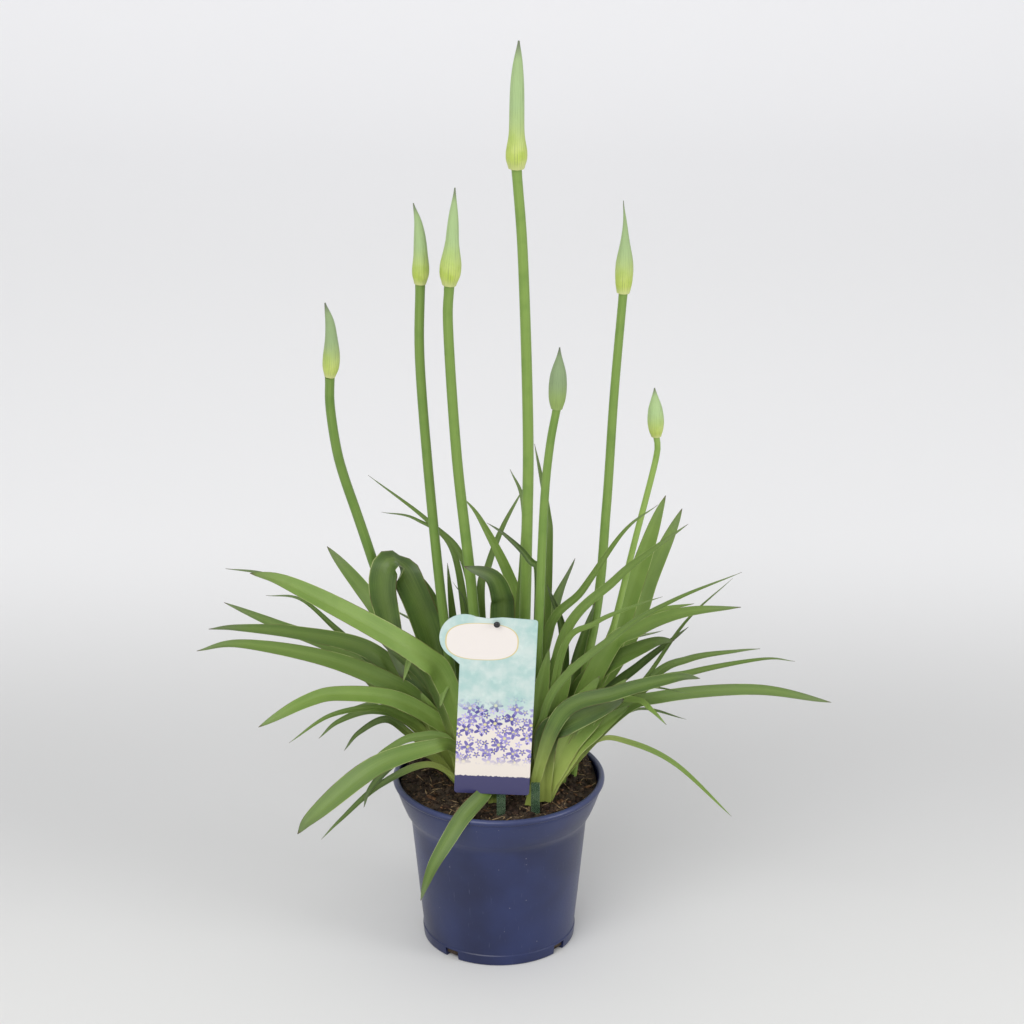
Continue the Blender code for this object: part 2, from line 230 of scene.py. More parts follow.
def new_group(name, kind, inputs, outputs):
    """A node group with named inputs (name, socket type, value) and outputs."""
    tree = bpy.data.node_groups.new(name, kind)
    for label, socket_type, value in inputs:
        socket = tree.interface.new_socket(label, in_out="INPUT", socket_type=socket_type)
        if value is not None:
            socket.default_value = value
    for label, socket_type in outputs:
        tree.interface.new_socket(label, in_out="OUTPUT", socket_type=socket_type)
    return Nodes(tree), tree.nodes.new("NodeGroupInput").outputs, tree.nodes.new("NodeGroupOutput").inputs


def shader_group(name, inputs, outputs):
    """A shader group of plain numbers, with its default values."""
    return new_group(name, "ShaderNodeTree", [(label, FLOAT, value) for label, value in inputs.items()],
                     [(label, FLOAT) for label in outputs])


def new_material(name, roughness=0.5, **sockets):
    """A material, and a way to wire what is made to its shader."""
    mat = bpy.data.materials.new(name)
    mat.use_nodes = True
    shader = mat.node_tree.nodes["Principled BSDF"]
    shader.inputs["Roughness"].default_value = roughness
    for key, value in sockets.items():
        shader.inputs[key.replace("_", " ")].default_value = value
    t = Nodes(mat.node_tree)

    def wire(colour, rough=None, height=None, depth=0.0003, strength=0.6):
        t.link(colour, shader.inputs["Base Color"])
        if rough is not None:
            t.link(rough, shader.inputs["Roughness"])
        if height is not None:
            bump = t.put("Bump", {"Height": height, "Distance": depth, "Strength": strength})
            t.link(bump, shader.inputs["Normal"])
        return mat

    return t, wire


print("group and material helpers ready")

# %% [markdown]
# ## Effects that several finishes share
# Three shader groups do most of the work. `veins` draws fine lines along a
# leaf, stem or bud from its own UV map: U runs round or across it and V along
# it. `mottle` is soft uneven colour in object space. `specks` is the dust,
# grit and tiny scratches that moulded plastic picks up in a nursery.

# %% Shared shader groups


def make_veins():
    t, given, gives = shader_group("veins", {"Count": 40.0, "Waver": 0.5}, ("Line", "Streak"))
    uv, across, along = t.uv()
    stretched = t.put("Mapping", {"Vector": uv, "Scale": (1, 0.35, 1)})
    shift = t.times(t.calc("SUBTRACT", t.noise(stretched, 6.0, 2.0), 0.5), given["Waver"])
    phase = t.times(t.calc("ADD", t.times(across, given["Count"]), shift), 2 * math.pi)
    t.link(t.calc("MULTIPLY_ADD", t.calc("SINE", phase), 0.5, 0.5), gives["Line"])
    thin = t.put("Mapping", {"Vector": uv, "Scale": (26, 1.3, 1)})
    t.link(t.noise(thin, 3.0, 4.0, 0.6), gives["Streak"])
    return t.tree


def make_mottle():
    t, given, gives = shader_group("mottle", {"Scale": 60.0, "Fine": 600.0}, ("Soft", "Grain"))
    t.link(t.noise(t.place(), given["Scale"], 3.0), gives["Soft"])
    t.link(t.noise(t.place(), given["Fine"], 2.0), gives["Grain"])
    return t.tree


def make_specks():
    t, given, gives = shader_group("specks", {"Scale": 260.0, "Size": 0.12, "Share": 0.1},
                                   ("Dust", "Scratch"))
    cells = t.put("TexVoronoi", {"Vector": t.place(), "Scale": given["Scale"]}, None).outputs
    near = t.calc("LESS_THAN", cells["Distance"], given["Size"])
    kept = t.calc("LESS_THAN", t.put("SeparateColor", {0: cells["Color"]}), given["Share"])
    t.link(t.times(near, kept), gives["Dust"])
    long_way = t.put("Mapping", {"Vector": t.place(), "Scale": (900, 900, 30), "Rotation": (0, 0.25, 0)})
    t.link(t.ramp(t.noise(long_way, 1.0, 3.0), 0.66, 0.74), gives["Scratch"])
    return t.tree


VEINS = make_veins()
MOTTLE = make_mottle()
SPECKS = make_specks()
print("shared groups:", VEINS.name, MOTTLE.name, SPECKS.name)

# %% [markdown]
# ## The leaf finish
# A strap leaf is mid green with a paler band on either side of its midrib,
# fine parallel veins, a duller and greyer underside, a thin dark margin that
# is often purple-brown, and a pale yellow-green foot where it comes out of its
# neighbours' sheath. The long thin tips dry to blue-grey. Each leaf carries its
# own tone as an attribute, so one finish serves them all. It is made three
# times: sheaths are pale all along, and the front leaf is green to its foot.

# %% Leaf material


def make_leaf_material(name, pale_until):
    """The leaf finish; its pale foot ends this far along the leaf."""
    t, wire = new_material(name, 0.42, Specular_IOR_Level=0.5)
    uv, across, along = t.uv()
    off_middle = t.times(t.calc("ABSOLUTE", t.calc("SUBTRACT", across, 0.5)), 2.0)
    tone = t.fact("tone")
    line, streak = t.use(VEINS, Count=22, Waver=0.6)
    soft, grain = t.use(MOTTLE, Scale=38, Fine=900)
    height = t.put("SeparateXYZ", {0: t.place()}, 2)
    low_down = t.ramp(t.calc("MULTIPLY_ADD", soft, 0.03, height), 0.232, 0.16, 0, 0.85)
    foot = t.times(low_down, t.ramp(along, pale_until, pale_until * 0.4))
    tip = t.times(t.ramp(along, 0.84, 1.0), t.ramp(tone, 0.9, 0.2, 0.2, 0.6))
    margin = t.times(t.ramp(off_middle, 0.93, 0.99), 0.7)
    body = t.layers(
        t.mix(t.ramp(tone, 0.0, 1.0), (42, 66, 20), (132, 162, 72)),
        (t.ramp(soft, 0.35, 0.7, 0, 0.35), (84, 118, 34)),
        (t.ramp(off_middle, 0.7, 0.1, 0, 0.22), (140, 164, 80)),
        (t.times(line, 0.2), (50, 78, 24)),
        (t.ramp(streak, 0.45, 0.75, 0, 0.3), (150, 172, 88)),
        (t.ramp(t.fact("upper"), 0.0, -0.3, 0, 0.5), (112, 136, 76)),
        (foot, (164, 178, 88)),
        (tip, (116, 128, 98)),
        (t.ramp(along, 0.975, 1.0, 0, 0.8), (84, 66, 52)),
        (margin, t.mix(t.ramp(soft, 0.46, 0.56), (104, 74, 52), (190, 196, 130))))
    relief = t.calc("ADD", t.times(line, 0.5), t.times(grain, 0.5))
    return wire(body, t.ramp(streak, 0.2, 0.8, 0.36, 0.52), relief, 0.00025, 0.5)


LEAF = make_leaf_material("strap_leaf", 0.5)
SHEATH = make_leaf_material("leaf_sheath", 1.5)
GREEN_LEAF = make_leaf_material("green_leaf", 0.05)

# %% [markdown]
# ## Stem and bud finishes
# The stems are smooth and round with a faint waxy bloom and long pale streaks.
# A bud is still shut in its papery case: yellow-green round the bulb, where the
# flowers press against it, grey-green along the beak, and dark at the curled
# tip. Fine lines run its whole length.

# %% Stem and bud materials


def make_stem_material():
    t, wire = new_material("flower_stem", 0.45, Specular_IOR_Level=0.4)
    line, streak = t.use(VEINS, Count=18, Waver=0.4)
    soft, grain = t.use(MOTTLE, Scale=55, Fine=1500)
    colour = t.layers(
        t.mix(t.ramp(t.fact("tone"), 0.0, 1.0), (84, 116, 40), (140, 168, 82)),
        (t.ramp(streak, 0.4, 0.75, 0, 0.5), (150, 172, 94)),
        (t.ramp(soft, 0.45, 0.7, 0, 0.35), (84, 120, 44)),
        (t.times(line, 0.1), (70, 104, 40)))
    relief = t.calc("ADD", t.times(line, 0.4), t.times(grain, 0.4))
    return wire(colour, t.ramp(grain, 0.3, 0.7, 0.38, 0.52), relief, 0.0002, 0.4)


def make_bud_material():
    t, wire = new_material("bud_case", 0.5, Specular_IOR_Level=0.4)
    uv, across, along = t.uv()
    tone = t.fact("tone")
    line, streak = t.use(VEINS, Count=26, Waver=0.8)
    soft, grain = t.use(MOTTLE, Scale=90, Fine=1400)
    bulb = t.layers(t.mix(t.ramp(soft, 0.3, 0.7), (170, 190, 76), (192, 204, 108)),
                    (t.ramp(along, 0.1, 0.0, 0, 0.6), (206, 206, 150)))
    warm = t.mix(t.ramp(tone, 0.1, 0.4), (136, 160, 88), bulb)
    beak = t.mix(t.ramp(tone, 0.0, 1.0), (128, 148, 108), (170, 196, 136))
    seam = t.times(t.ramp(line, 0.9, 1.0), t.ramp(streak, 0.5, 0.56))
    colour = t.layers(
        t.mix(t.ramp(t.calc("MULTIPLY_ADD", soft, 0.16, along), 0.14, 0.62), warm, beak),
        (t.times(line, 0.14), (104, 128, 78)),
        (t.ramp(streak, 0.5, 0.8, 0, 0.45), (116, 140, 90)),
        (t.ramp(along, 0.84, 1.0, 0, 0.7), (92, 92, 88)),
        (t.times(seam, 0.5), (88, 84, 70)))
    relief = t.calc("ADD", t.times(line, 0.7), t.times(grain, 0.3))
    return wire(colour, t.ramp(grain, 0.3, 0.7, 0.42, 0.58), relief, 0.0003, 0.6)


STEM = make_stem_material()
BUD = make_bud_material()
print("plant finishes:", LEAF.name, STEM.name, BUD.name)

# %% [markdown]
# ## The leaf tree
# The modifier's object is only a thin line: the midrib, as mesh points that
# carry where the upper face looks and how wide the leaf is there. The tree
# turns the line into a curve, sweeps a lens-shaped section along it, bends the
# section into a channel with a midrib groove, and stores the UV map. Sweeping
# is exact and cheap, and the inputs stay readable sizes.

# %% Strap leaf node tree
LEAF_SIDES = 28
CHANNEL_CURVE = 1.4
GROOVE_WIDTH, GROOVE_DEPTH = 0.22, -1.1


def make_sweep(name, section, flip=False):
    """A tree that sweeps a section along a line of points. The section
    function shapes the profile from its round start, and gives the curve."""
    t, given, gives = new_group(
        name, "GeometryNodeTree",
        [("Geometry", NGEO, None), ("Half Width", FLOAT, 0.008), ("Thickness", FLOAT, 0.001),
         ("Channel", FLOAT, 0.25), ("Tone", FLOAT, 0.5), ("Material", NMAT, None)], [("Geometry", NGEO)])
    curve = t.put("GeometryNodeMeshToCurve", {"Mesh": given["Geometry"]})
    facing = t.put("GeometryNodeInputNamedAttribute", {"Name": "facing"}, data_type="FLOAT_VECTOR")
    curve = t.put("GeometryNodeSetCurveNormal", {"Curve": curve, "Normal": facing}, mode="FREE")
    curve, along = t.catch(curve, Along=t.put("GeometryNodeSplineParameter"))
    profile, across, upper = section(t, given)
    share = t.put("GeometryNodeInputNamedAttribute", {"Name": "share"}, data_type="FLOAT")
    mesh = t.put("GeometryNodeCurveToMesh",
                 {"Curve": curve, "Profile Curve": profile, "Fill Caps": True,
                  "Scale": t.times(share, given["Half Width"])})
    if flip:
        mesh = t.put("GeometryNodeFlipFaces", {"Mesh": mesh})
    mesh = t.store(mesh, "tone", given["Tone"])
    mesh = t.store(mesh, "upper", upper)
    mesh = t.store(mesh, "UVMap", t.put("CombineXYZ", {0: across, 1: along}), "FLOAT2", "CORNER")
    return t.finish(mesh, given, gives)


def leaf_section(t, given):
    """A thin lens 2 wide, bent to a channel, with a groove along its middle."""
    circle = t.circle(LEAF_SIDES)
    x, y = t.parts(t.put("GeometryNodeInputPosition"))
    circle, across, upper = t.catch(circle, Across=t.calc("MULTIPLY_ADD", x, 0.5, 0.5), Upper=y)
    flat = t.calc("DIVIDE", given["Thickness"], t.times(given["Half Width"], 2.0))
    side = t.calc("ABSOLUTE", x)
    channel = t.times(t.calc("POWER", side, CHANNEL_CURVE), given["Channel"])
    groove = t.times(t.ramp(side, GROOVE_WIDTH, 0.0), t.times(flat, GROOVE_DEPTH))
    height = t.calc("ADD", t.calc("ADD", t.times(y, flat), channel), groove)
    moved = t.put("CombineXYZ", {0: height, 1: x})
    return t.put("GeometryNodeSetPosition", {"Geometry": circle, "Position": moved}), across, upper


LEAF_TREE = make_sweep("strap_leaf", leaf_section, flip=True)


def evaluate(mesh, tree, values, name):
    """Run a tree on a mesh, keep the result as a plain object and drop the
    modifier with its source."""
    source = add_object(name + "_source", mesh)
    modifier = source.modifiers.new("nodes", "NODES")
    modifier.node_group = tree
    for item in tree.interface.items_tree:
        if item.item_type == "SOCKET" and item.in_out == "INPUT" and item.name in values:
            modifier[item.identifier] = values[item.name]
    graph = bpy.context.evaluated_depsgraph_get()
    made = bpy.data.meshes.new_from_object(source.evaluated_get(graph), depsgraph=graph)
    bpy.data.objects.remove(source)
    made.name = name
    made.shade_smooth()
    return add_object(name, made)


print("leaf tree inputs:", [item.name for item in LEAF_TREE.interface.items_tree][:7])

# %% [markdown]
# ## Paths
# A path is a smooth curve through a few measured points. The same rule placed
# the solids of the frame, so a detailed leaf lies where its plain one does. The
# plain ones leave the soil straight up; here the leaves lean out at once from
# two tight crowns, as they do in life. The blade's roll says how far its upper
# face has turned from the front towards the sky.

# %% Path helpers
SOIL_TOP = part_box("soil")[1][2]
SEAT = SOIL_TOP + GAP
POINTS = {"blunt": 7, "keen": 3.2, "tail": 1.7}
POINT_CURVE = 0.8
CURVE_STEPS = 24
DEPTH_CURVE = 1.2
# Where a crown stands, in mm, and how much of a foot's distance from it is kept
LEFT_CROWN, LEFT_KEPT = -26, 0.6
RIGHT_CROWN, RIGHT_KEPT, RIGHT_BACK = 30, 0.45, 6


def curve_points(knots, count, slant=0.0):
    """Evenly spaced points of a smooth curve through the knots. It leaves the
    first knot straight up (slant 0) or straight towards the next one (1)."""
    way = knots[1] - knots[0]
    below = knots[0] - Vector((0, 0, way.length)).lerp(way, slant)
    chain = [below, *knots, knots[-1] + (knots[-1] - knots[-2])]
    fine = []
    for a, b, c, d in zip(chain, chain[1:], chain[2:], chain[3:]):
        for step in range(CURVE_STEPS):
            u = step / CURVE_STEPS
            fine.append(0.5 * (2 * b + (c - a) * u + (2 * a - 5 * b + 4 * c - d) * u ** 2
                               + (3 * b - a - 3 * c + d) * u ** 3))
    fine.append(knots[-1])
    lengths = [0.0]
    for a, b in zip(fine, fine[1:]):
        lengths.append(lengths[-1] + (b - a).length)
    points = []
    seg = 0
    for i in range(count):
        target = lengths[-1] * i / (count - 1)
        while seg < len(fine) - 2 and lengths[seg + 1] < target:
            seg += 1
        share = (target - lengths[seg]) / (lengths[seg + 1] - lengths[seg])
        points.append(fine[seg].lerp(fine[seg + 1], share))
    return points


def tangents(points):
    ends = [points[0], *points, points[-1]]
    return [(after - before).normalized() for before, after in zip(ends, ends[2:])]


def smooth(x):
    x = max(0.0, min(1.0, x))
    return x * x * (3 - 2 * x)


def leaf_share(t, kind, spread):
    """Width of a strap leaf along its length, as a share of the widest.

    The spread says how wide the foot is and how far along the leaf is widest.
    """
    foot, widest = spread
    return (foot + (1 - foot) * smooth(t / widest)) * max(1 - t ** POINTS[kind], 0) ** POINT_CURVE


def leaf_knots(foot, tip_depth, route):
    """The foot on the soil, then the route, with its depth growing to the tip."""
    knots = [Vector((foot[0] * MM, foot[1] * MM, SEAT))]
    for i, (across, up) in enumerate(route, 1):
        share = (i / len(route)) ** DEPTH_CURVE
        knots.append(along_sight(across, up, foot[1] + (tip_depth - foot[1]) * share))
    return knots


def crowded(foot):
    """A foot moved in towards the crown that its leaf grows from."""
    x, y = foot
    if x > RIGHT_CROWN:
        return RIGHT_CROWN + (x - RIGHT_CROWN) * RIGHT_KEPT, y + RIGHT_BACK
    if x < LEFT_CROWN:
        return LEFT_CROWN + (x - LEFT_CROWN) * LEFT_KEPT, y
    return foot


def path_mesh(points, facing, share):
    """A line of points with their facing and width share as attributes."""
    mesh = bpy.data.meshes.new("path")
    mesh.from_pydata(points, [(i, i + 1) for i in range(len(points) - 1)], [])
    mesh.attributes.new("facing", "FLOAT_VECTOR", "POINT").data.foreach_set(
        "vector", [c for v in facing for c in v])
    mesh.attributes.new("share", "FLOAT", "POINT").data.foreach_set("value", share)
    return mesh


print("soil top", round(SOIL_TOP / MM, 1), "mm")

# %% [markdown]
# ## Laying out the leaves
# Every leaf is written as a person would describe it: where its foot stands on
# the soil, how far forward or back its tip reaches, how wide it is, how it
# rolls, what kind of point it has, how light it is (0 dark to 1 light), and a
# few points that its midrib passes.

# %% Leaves of the frame
# name, foot, tip depth, width, roll at foot and tip, point, tone, route
LEAVES = [
    ("l01", (-14, -26), -100, 19, (10, 50), "blunt", 0.75, [(-41, 220), (-62, 246), (-117, 281), (-168, 309),
     (-195, 317)]),
    ("l02", (-22, -20), -58, 12, (10, 40), "tail", 0.3, [(-62, 240), (-117, 279), (-160, 305), (-186, 317),
     (-214, 321)]),
    ("l03", (-38, 23), 22, 9, (10, 30), "tail", 0.3, [(-78, 213), (-107, 247), (-129, 270), (-156, 295),
     (-183, 298)]),
    ("l04", (-50, 38), 60, 14, (0, 30), "keen", 0.45, [(-92, 217), (-122, 249), (-173, 272), (-216, 292)]),
    ("l05", (-46, 12), -35, 16, (10, 45), "keen", 0.4, [(-70, 212), (-102, 250), (-157, 265), (-206, 270),
     (-229, 269)]),
    ("l06", (-34, -2), -70, 17, (10, 50), "keen", 0.5, [(-60, 200), (-91, 224), (-141, 244), (-205, 256),
     (-239, 250)]),
    ("l07", (-26, -7), -85, 14, (10, 50), "blunt", 0.65, [(-35, 175), (-79, 206), (-126, 212), (-154, 205),
     (-192, 183)]),
    ("l08", (-44, 5), -45, 9, (10, 50), "tail", 0.6, [(-59, 178), (-79, 193), (-99, 200), (-135, 193),
     (-168, 169)]),
    ("l09", (-10, -34), -110, 19, (10, 50), "blunt", 0.45, [(-34, 164), (-55, 165), (-100, 147), (-148, 105),
     (-163, 87)]),
    ("l10", (-34, -16), -45, 9, (10, 30), "keen", 0.15, [(-56, 160), (-80, 155), (-103, 129), (-109, 111)]),
    ("l11", (-30, -25), -30, 9, (10, 50), "keen", 0.55, [(-40, 170), (-67, 174), (-88, 164), (-106, 150)]),
    ("l12", (-36, 40), 80, 15, (0, 10), "blunt", 0.55, [(-62, 225), (-90, 278), (-109, 307), (-134, 340)]),
    ("l13", (-38, 18), -6, 24, (0, 0), "blunt", 0.2, [(-44, 215), (-52, 258), (-63, 293), (-74, 318),
     (-82, 328), (-89, 320), (-91, 304), (-87, 280), (-81, 250), (-76, 225)]),
    ("l14", (-28, 27), 36, 12, (0, 0), "keen", 0.5, [(-45, 250), (-48, 285), (-60, 311), (-76, 325)]),
    ("l15", (-8, 22), 60, 9, (0, 0), "tail", 0.45, [(-14, 230), (-26, 324), (-54, 361), (-101, 400)]),
    ("l16", (-14, 44), 100, 9, (0, 0), "tail", 0.45, [(-22, 240), (-35, 335), (-64, 363), (-91, 369)]),
    ("c01", (24, 28), 50, 12, (0, 0), "keen", 0.8, [(17, 276), (8, 316), (-14, 363), (-27, 381)]),
    ("c02", (-6, 40), 90, 8, (0, 0), "keen", 0.45, [(-14, 294), (-8, 324), (3, 356), (20, 390)]),
    ("c03", (10, 22), 60, 10, (0, 0), "keen", 0.45, [(20, 329), (19, 379), (9, 405)]),
    ("c04", (36, 32), 60, 9, (0, 0), "keen", 0.45, [(39, 329), (38, 370), (28, 426)]),
    ("c05", (28, -6), -12, 10, (0, 0), "keen", 0.05, [(32, 303), (24, 329), (5, 350), (-9, 360)]),
    ("c06", (4, -14), -24, 21, (0, 0), "blunt", 0.0, [(3, 278), (3, 296), (-5, 315), (-27, 323)]),
    ("c07", (42, 12), 20, 10, (0, 0), "keen", 0.15, [(49, 207), (51, 265), (38, 308)]),
    ("r01", (32, -18), -40, 10, (0, 10), "tail", 0.5, [(38, 262), (66, 303), (98, 353), (124, 375)]),
    ("r02", (38, -26), -75, 9, (0, 20), "keen", 0.55, [(50, 259), (92, 312), (119, 336), (148, 359)]),
    ("r03", (58, 14), 40, 16, (0, 0), "blunt", 0.8, [(88, 250), (105, 303), (123, 363), (130, 383)]),
    ("r04", (64, 26), 80, 15, (0, 0), "blunt", 0.65, [(101, 259), (120, 316), (143, 372)]),
    ("r05", (36, -34), -100, 8, (0, 40), "tail", 0.6, [(50, 248), (76, 274), (107, 289), (129, 297)]),
    ("r06", (34, -44), -116, 8, (0, 40), "tail", 0.45, [(40, 208), (94, 265), (138, 294), (191, 318)]),
    ("r07", (44, -30), -88, 17, (10, 50), "keen", 0.6, [(83, 244), (112, 269), (147, 283), (191, 288)]),
    ("r08", (46, -20), -55, 16, (10, 50), "blunt", 0.45, [(61, 208), (85, 236), (121, 256), (139, 259)]),
    ("r09", (57, -10), -25, 9, (10, 30), "keen", 0.2, [(82, 208), (112, 238), (150, 271)]),
    ("r10", (62, -17), 20, 11, (10, 40), "tail", 0.45, [(118, 223), (151, 243), (189, 250), (207, 252)]),
    ("r11", (50, -26), -65, 9, (10, 40), "tail", 0.45, [(112, 214), (152, 231), (209, 243), (235, 241)]),
    ("r12", (24, -49), -110, 13, (10, 50), "blunt", 0.25, [(49, 193), (94, 213), (140, 226), (160, 226)]),
    ("r13", (55, -33), -66, 10, (10, 40), "blunt", 0.45, [(96, 195), (131, 210), (204, 216), (265, 205)]),
    ("r14", (53, -45), -98, 9, (10, 50), "keen", 0.9, [(80, 199), (109, 207), (122, 198), (134, 185)]),
    ("r15", (44, -48), -72, 19, (10, 20), "blunt", 0.12, [(38, 174), (54, 187), (78, 199), (100, 208)]),
    ("r16", (68, -6), 60, 5, (10, 40), "keen", 0.8, [(78, 171), (104, 170), (142, 150), (188, 103)]),
]
# The front leaf bends over the lip of the pot: across, up and depth
FRONT_FOOT = (-4, -44)
FRONT_ROUTE = [(-7, 129, -52), (-15, 120, -64), (-29, 103, -79), (-41, 82, -90), (-53, 59, -98),
               (-60, 40, -101), (-64, 26, -102)]
# A folded leaf: how far along the fold is, and how sharp
FOLDS = {"l13": (0.64, 0.05)}
# How wide a leaf is at its foot, as a share, and how far along it is widest
USUAL_SPREAD = (0.55, 0.45)
SPREADS = {"l09": (0.25, 0.78), "front": (0.6, 0.4)}
print("leaves laid out:", len(LEAVES) + 1)

# %% [markdown]
# A blade's line carries its facing and its width. The facing starts at the
# front, rolls towards the sky, and swings edge-on where a leaf is folded.

# %% Leaf blades
LEAF_STATIONS = 64
LEAF_THICK = 0.9 * MM
CHANNEL = 0.26
FOLD_TURN = math.radians(86)
ROLL_RATE = 1.4
LEAST_SHARE = 0.03


def blade(name, knots, width, rolls, kind, tone, slant=0.75, fold=None, material=LEAF, spread=USUAL_SPREAD):
    """One leaf. A fold (how far along, how sharp) turns the blade edge-on there."""
    points = curve_points(knots, LEAF_STATIONS, slant)
    facing, share = [], []
    for i, tangent in enumerate(tangents(points)):
        t = i / (LEAF_STATIONS - 1)
        roll = math.radians(rolls[0] + (rolls[1] - rolls[0]) * smooth(t * ROLL_RATE))
        if fold:
            roll += FOLD_TURN * math.exp(-((t - fold[0]) / fold[1]) ** 2)
        front = Vector((0, -math.cos(roll), math.sin(roll)))
        facing.append(tangent.cross(front.cross(tangent).normalized()))
        share.append(max(leaf_share(t, kind, spread), LEAST_SHARE))
    values = {"Half Width": width * MM / 2, "Thickness": LEAF_THICK, "Channel": CHANNEL, "Tone": tone,
              "Material": material}
    return evaluate(path_mesh(points, facing, share), LEAF_TREE, values, name)


def finish_piece(piece, slot, *nodes):
    """Hang a piece on the root body and hide the solids that it stands for; the slot is not used."""
    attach(piece, "root")
    if nodes:
        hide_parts(*nodes)


for key, foot, tip_depth, width, rolls, kind, tone, route in LEAVES:
    leaf = blade(f"leaf_{key}_blade", leaf_knots(crowded(foot), tip_depth, route), width, rolls, kind, tone,
                 fold=FOLDS.get(key), spread=SPREADS.get(key, USUAL_SPREAD))
    finish_piece(leaf, "leaf_green", f"leaf_{key}")
front_knots = leaf_knots(FRONT_FOOT, 0, []) + [along_sight(*place) for place in FRONT_ROUTE]
leaf = blade("leaf_front_blade", front_knots, 14, (20, 30), "keen", 0.3, slant=0.3, material=GREEN_LEAF,
             spread=SPREADS["front"])
finish_piece(leaf, "leaf_green", "leaf_front")
print("leaves:", len(LEAVES) + 1, "triangles in one:", sum(len(p.vertices) - 2 for p in leaf.data.polygons))

# %% [markdown]
# ## The smaller leaves
# The frame has room for the main leaves only. The rest of the plant, short
# inner leaves, thin drooping tips and the ones that fill the back, are placed
# here in the same words.

# %% Smaller leaves
SMALL_LEAVES = [
    ((-50, 20), 10, 8, (10, 40), "keen", 0.4, [(-72, 188), (-100, 198), (-128, 188), (-144, 173)]),
    ((-56, 30), 30, 7, (10, 40), "keen", 0.3, [(-70, 176), (-90, 190), (-112, 178), (-124, 162)]),
    ((-24, -24), -50, 6, (10, 40), "keen", 0.3, [(-55, 150), (-95, 132), (-128, 100), (-144, 82)]),
    ((-22, 36), 40, 9, (0, 0), "keen", 0.4, [(-30, 215), (-35, 268), (-40, 326)]),
    ((-16, 30), 34, 6, (0, 0), "tail", 0.1, [(-22, 240), (-26, 290), (-36, 310)]),
    ((60, -14), -50, 5, (10, 20), "tail", 0.35, [(84, 190), (115, 224), (148, 276), (184, 313)]),
    ((48, -24), -60, 11, (10, 40), "keen", 0.85, [(84, 244), (110, 272), (128, 285), (154, 291)]),
    ((52, -36), -88, 5, (10, 40), "tail", 0.5, [(80, 205), (110, 216), (126, 218), (153, 212)]),
    ((16, 40), 95, 12, (0, -40), "blunt", 0.4, [(30, 230), (44, 292), (60, 330)]),
    ((-10, 56), 105, 13, (0, -50), "keen", 0.5, [(-22, 200), (-50, 262), (-92, 292)]),
    ((40, 44), 110, 12, (0, -50), "blunt", 0.4, [(58, 205), (92, 255), (130, 268)]),
    ((8, 60), 112, 12, (0, -50), "keen", 0.5, [(6, 185), (10, 235), (26, 268)]),
    ((-44, 50), 112, 12, (0, -40), "keen", 0.5, [(-60, 180), (-86, 206), (-120, 200)]),
    ((58, 34), 108, 10, (0, -40), "tail", 0.4, [(78, 180), (112, 200), (150, 190)]),
    ((42, -8), -14, 12, (0, 10), "keen", 0.2, [(54, 200), (64, 250), (76, 292)]),
    ((36, -12), -20, 13, (0, 10), "blunt", 0.15, [(40, 190), (44, 232), (52, 262)]),
    ((-28, -6), -26, 13, (0, 20), "keen", 0.25, [(-38, 190), (-58, 226), (-92, 256)]),
    ((-36, 8), 4, 14, (0, 20), "blunt", 0.15, [(-46, 190), (-62, 222), (-92, 244)]),
    ((-20, -24), -46, 8, (0, 0), "blunt", 0.8, [(-46, 228), (-58, 250), (-69, 246), (-76, 223)]),
    ((-18, -22), -42, 8, (0, 0), "blunt", 0.8, [(-26, 200), (-34, 222), (-42, 220), (-47, 200)]),
]
for number, (foot, tip_depth, width, rolls, kind, tone, route) in enumerate(SMALL_LEAVES, 1):
    knots = leaf_knots(crowded(foot), tip_depth, route)
    leaf = blade(f"small_leaf_{number}", knots, width, rolls, kind, tone)
    finish_piece(leaf, "leaf_green")
print("smaller leaves:", len(SMALL_LEAVES))

# %% [markdown]
# ## Leaf sheaths at the foot
# The feet of the leaves wrap each other in a short pale stem. Broad, short
# blades round each crown make that bundle.

# %% Sheaths
SHEATH_TONE = 0.75
SHEATH_BREADTH = 1.25
# name, foot, tip depth, width, roll at foot and tip, route
SHEATHS = [
    ("r1", (30, -34), -40, 16, (0, 10), [(36, 172), (46, 204), (58, 240)]),
    ("r2", (32, -37), -46, 18, (0, 20), [(44, 168), (60, 196), (80, 228)]),
    ("r3", (34, -39), -52, 18, (10, 30), [(52, 164), (71, 187), (96, 213)]),
    ("r4", (36, -38), -54, 15, (10, 40), [(56, 160), (77, 180), (104, 202)]),
    ("r5", (38, -30), -40, 17, (10, 30), [(56, 168), (78, 198), (102, 226)]),
    ("r6", (26, -36), -40, 14, (0, 0), [(29, 178), (33, 212), (40, 252)]),
    ("l1", (-28, -4), -16, 16, (0, 10), [(-36, 176), (-42, 200), (-46, 232)]),
    ("l2", (-30, -10), -24, 15, (0, 20), [(-40, 168), (-50, 188), (-62, 214)]),
    ("l3", (-24, -14), -26, 14, (0, 0), [(-30, 176), (-34, 206), (-38, 238)]),
    ("l4", (-34, 2), 0, 16, (10, 30), [(-46, 168), (-60, 186), (-80, 208)]),
]
for key, foot, tip_depth, width, rolls, route in SHEATHS:
    leaf = blade(f"sheath_{key}", leaf_knots(foot, tip_depth, route), width * SHEATH_BREADTH, rolls, "keen",
                 SHEATH_TONE, material=SHEATH)
    finish_piece(leaf, "leaf_green")
print("sheaths:", len(SHEATHS))

# %% [markdown]
# ## Stems and buds
# The same sweep with a round, faintly ribbed section makes the stems and the
# bud cases. Here Channel is the depth of the ribs, as a share of the radius.

# %% Stem and bud tree
RIBS = 8
STALK_SIDES = 32
STEM_RIB, BUD_RIB = 0.012, 0.02
STEM_STATIONS = 60
BUD_STATIONS = 44
STEM_FLARE = 1.05
CURL_FROM = 0.6


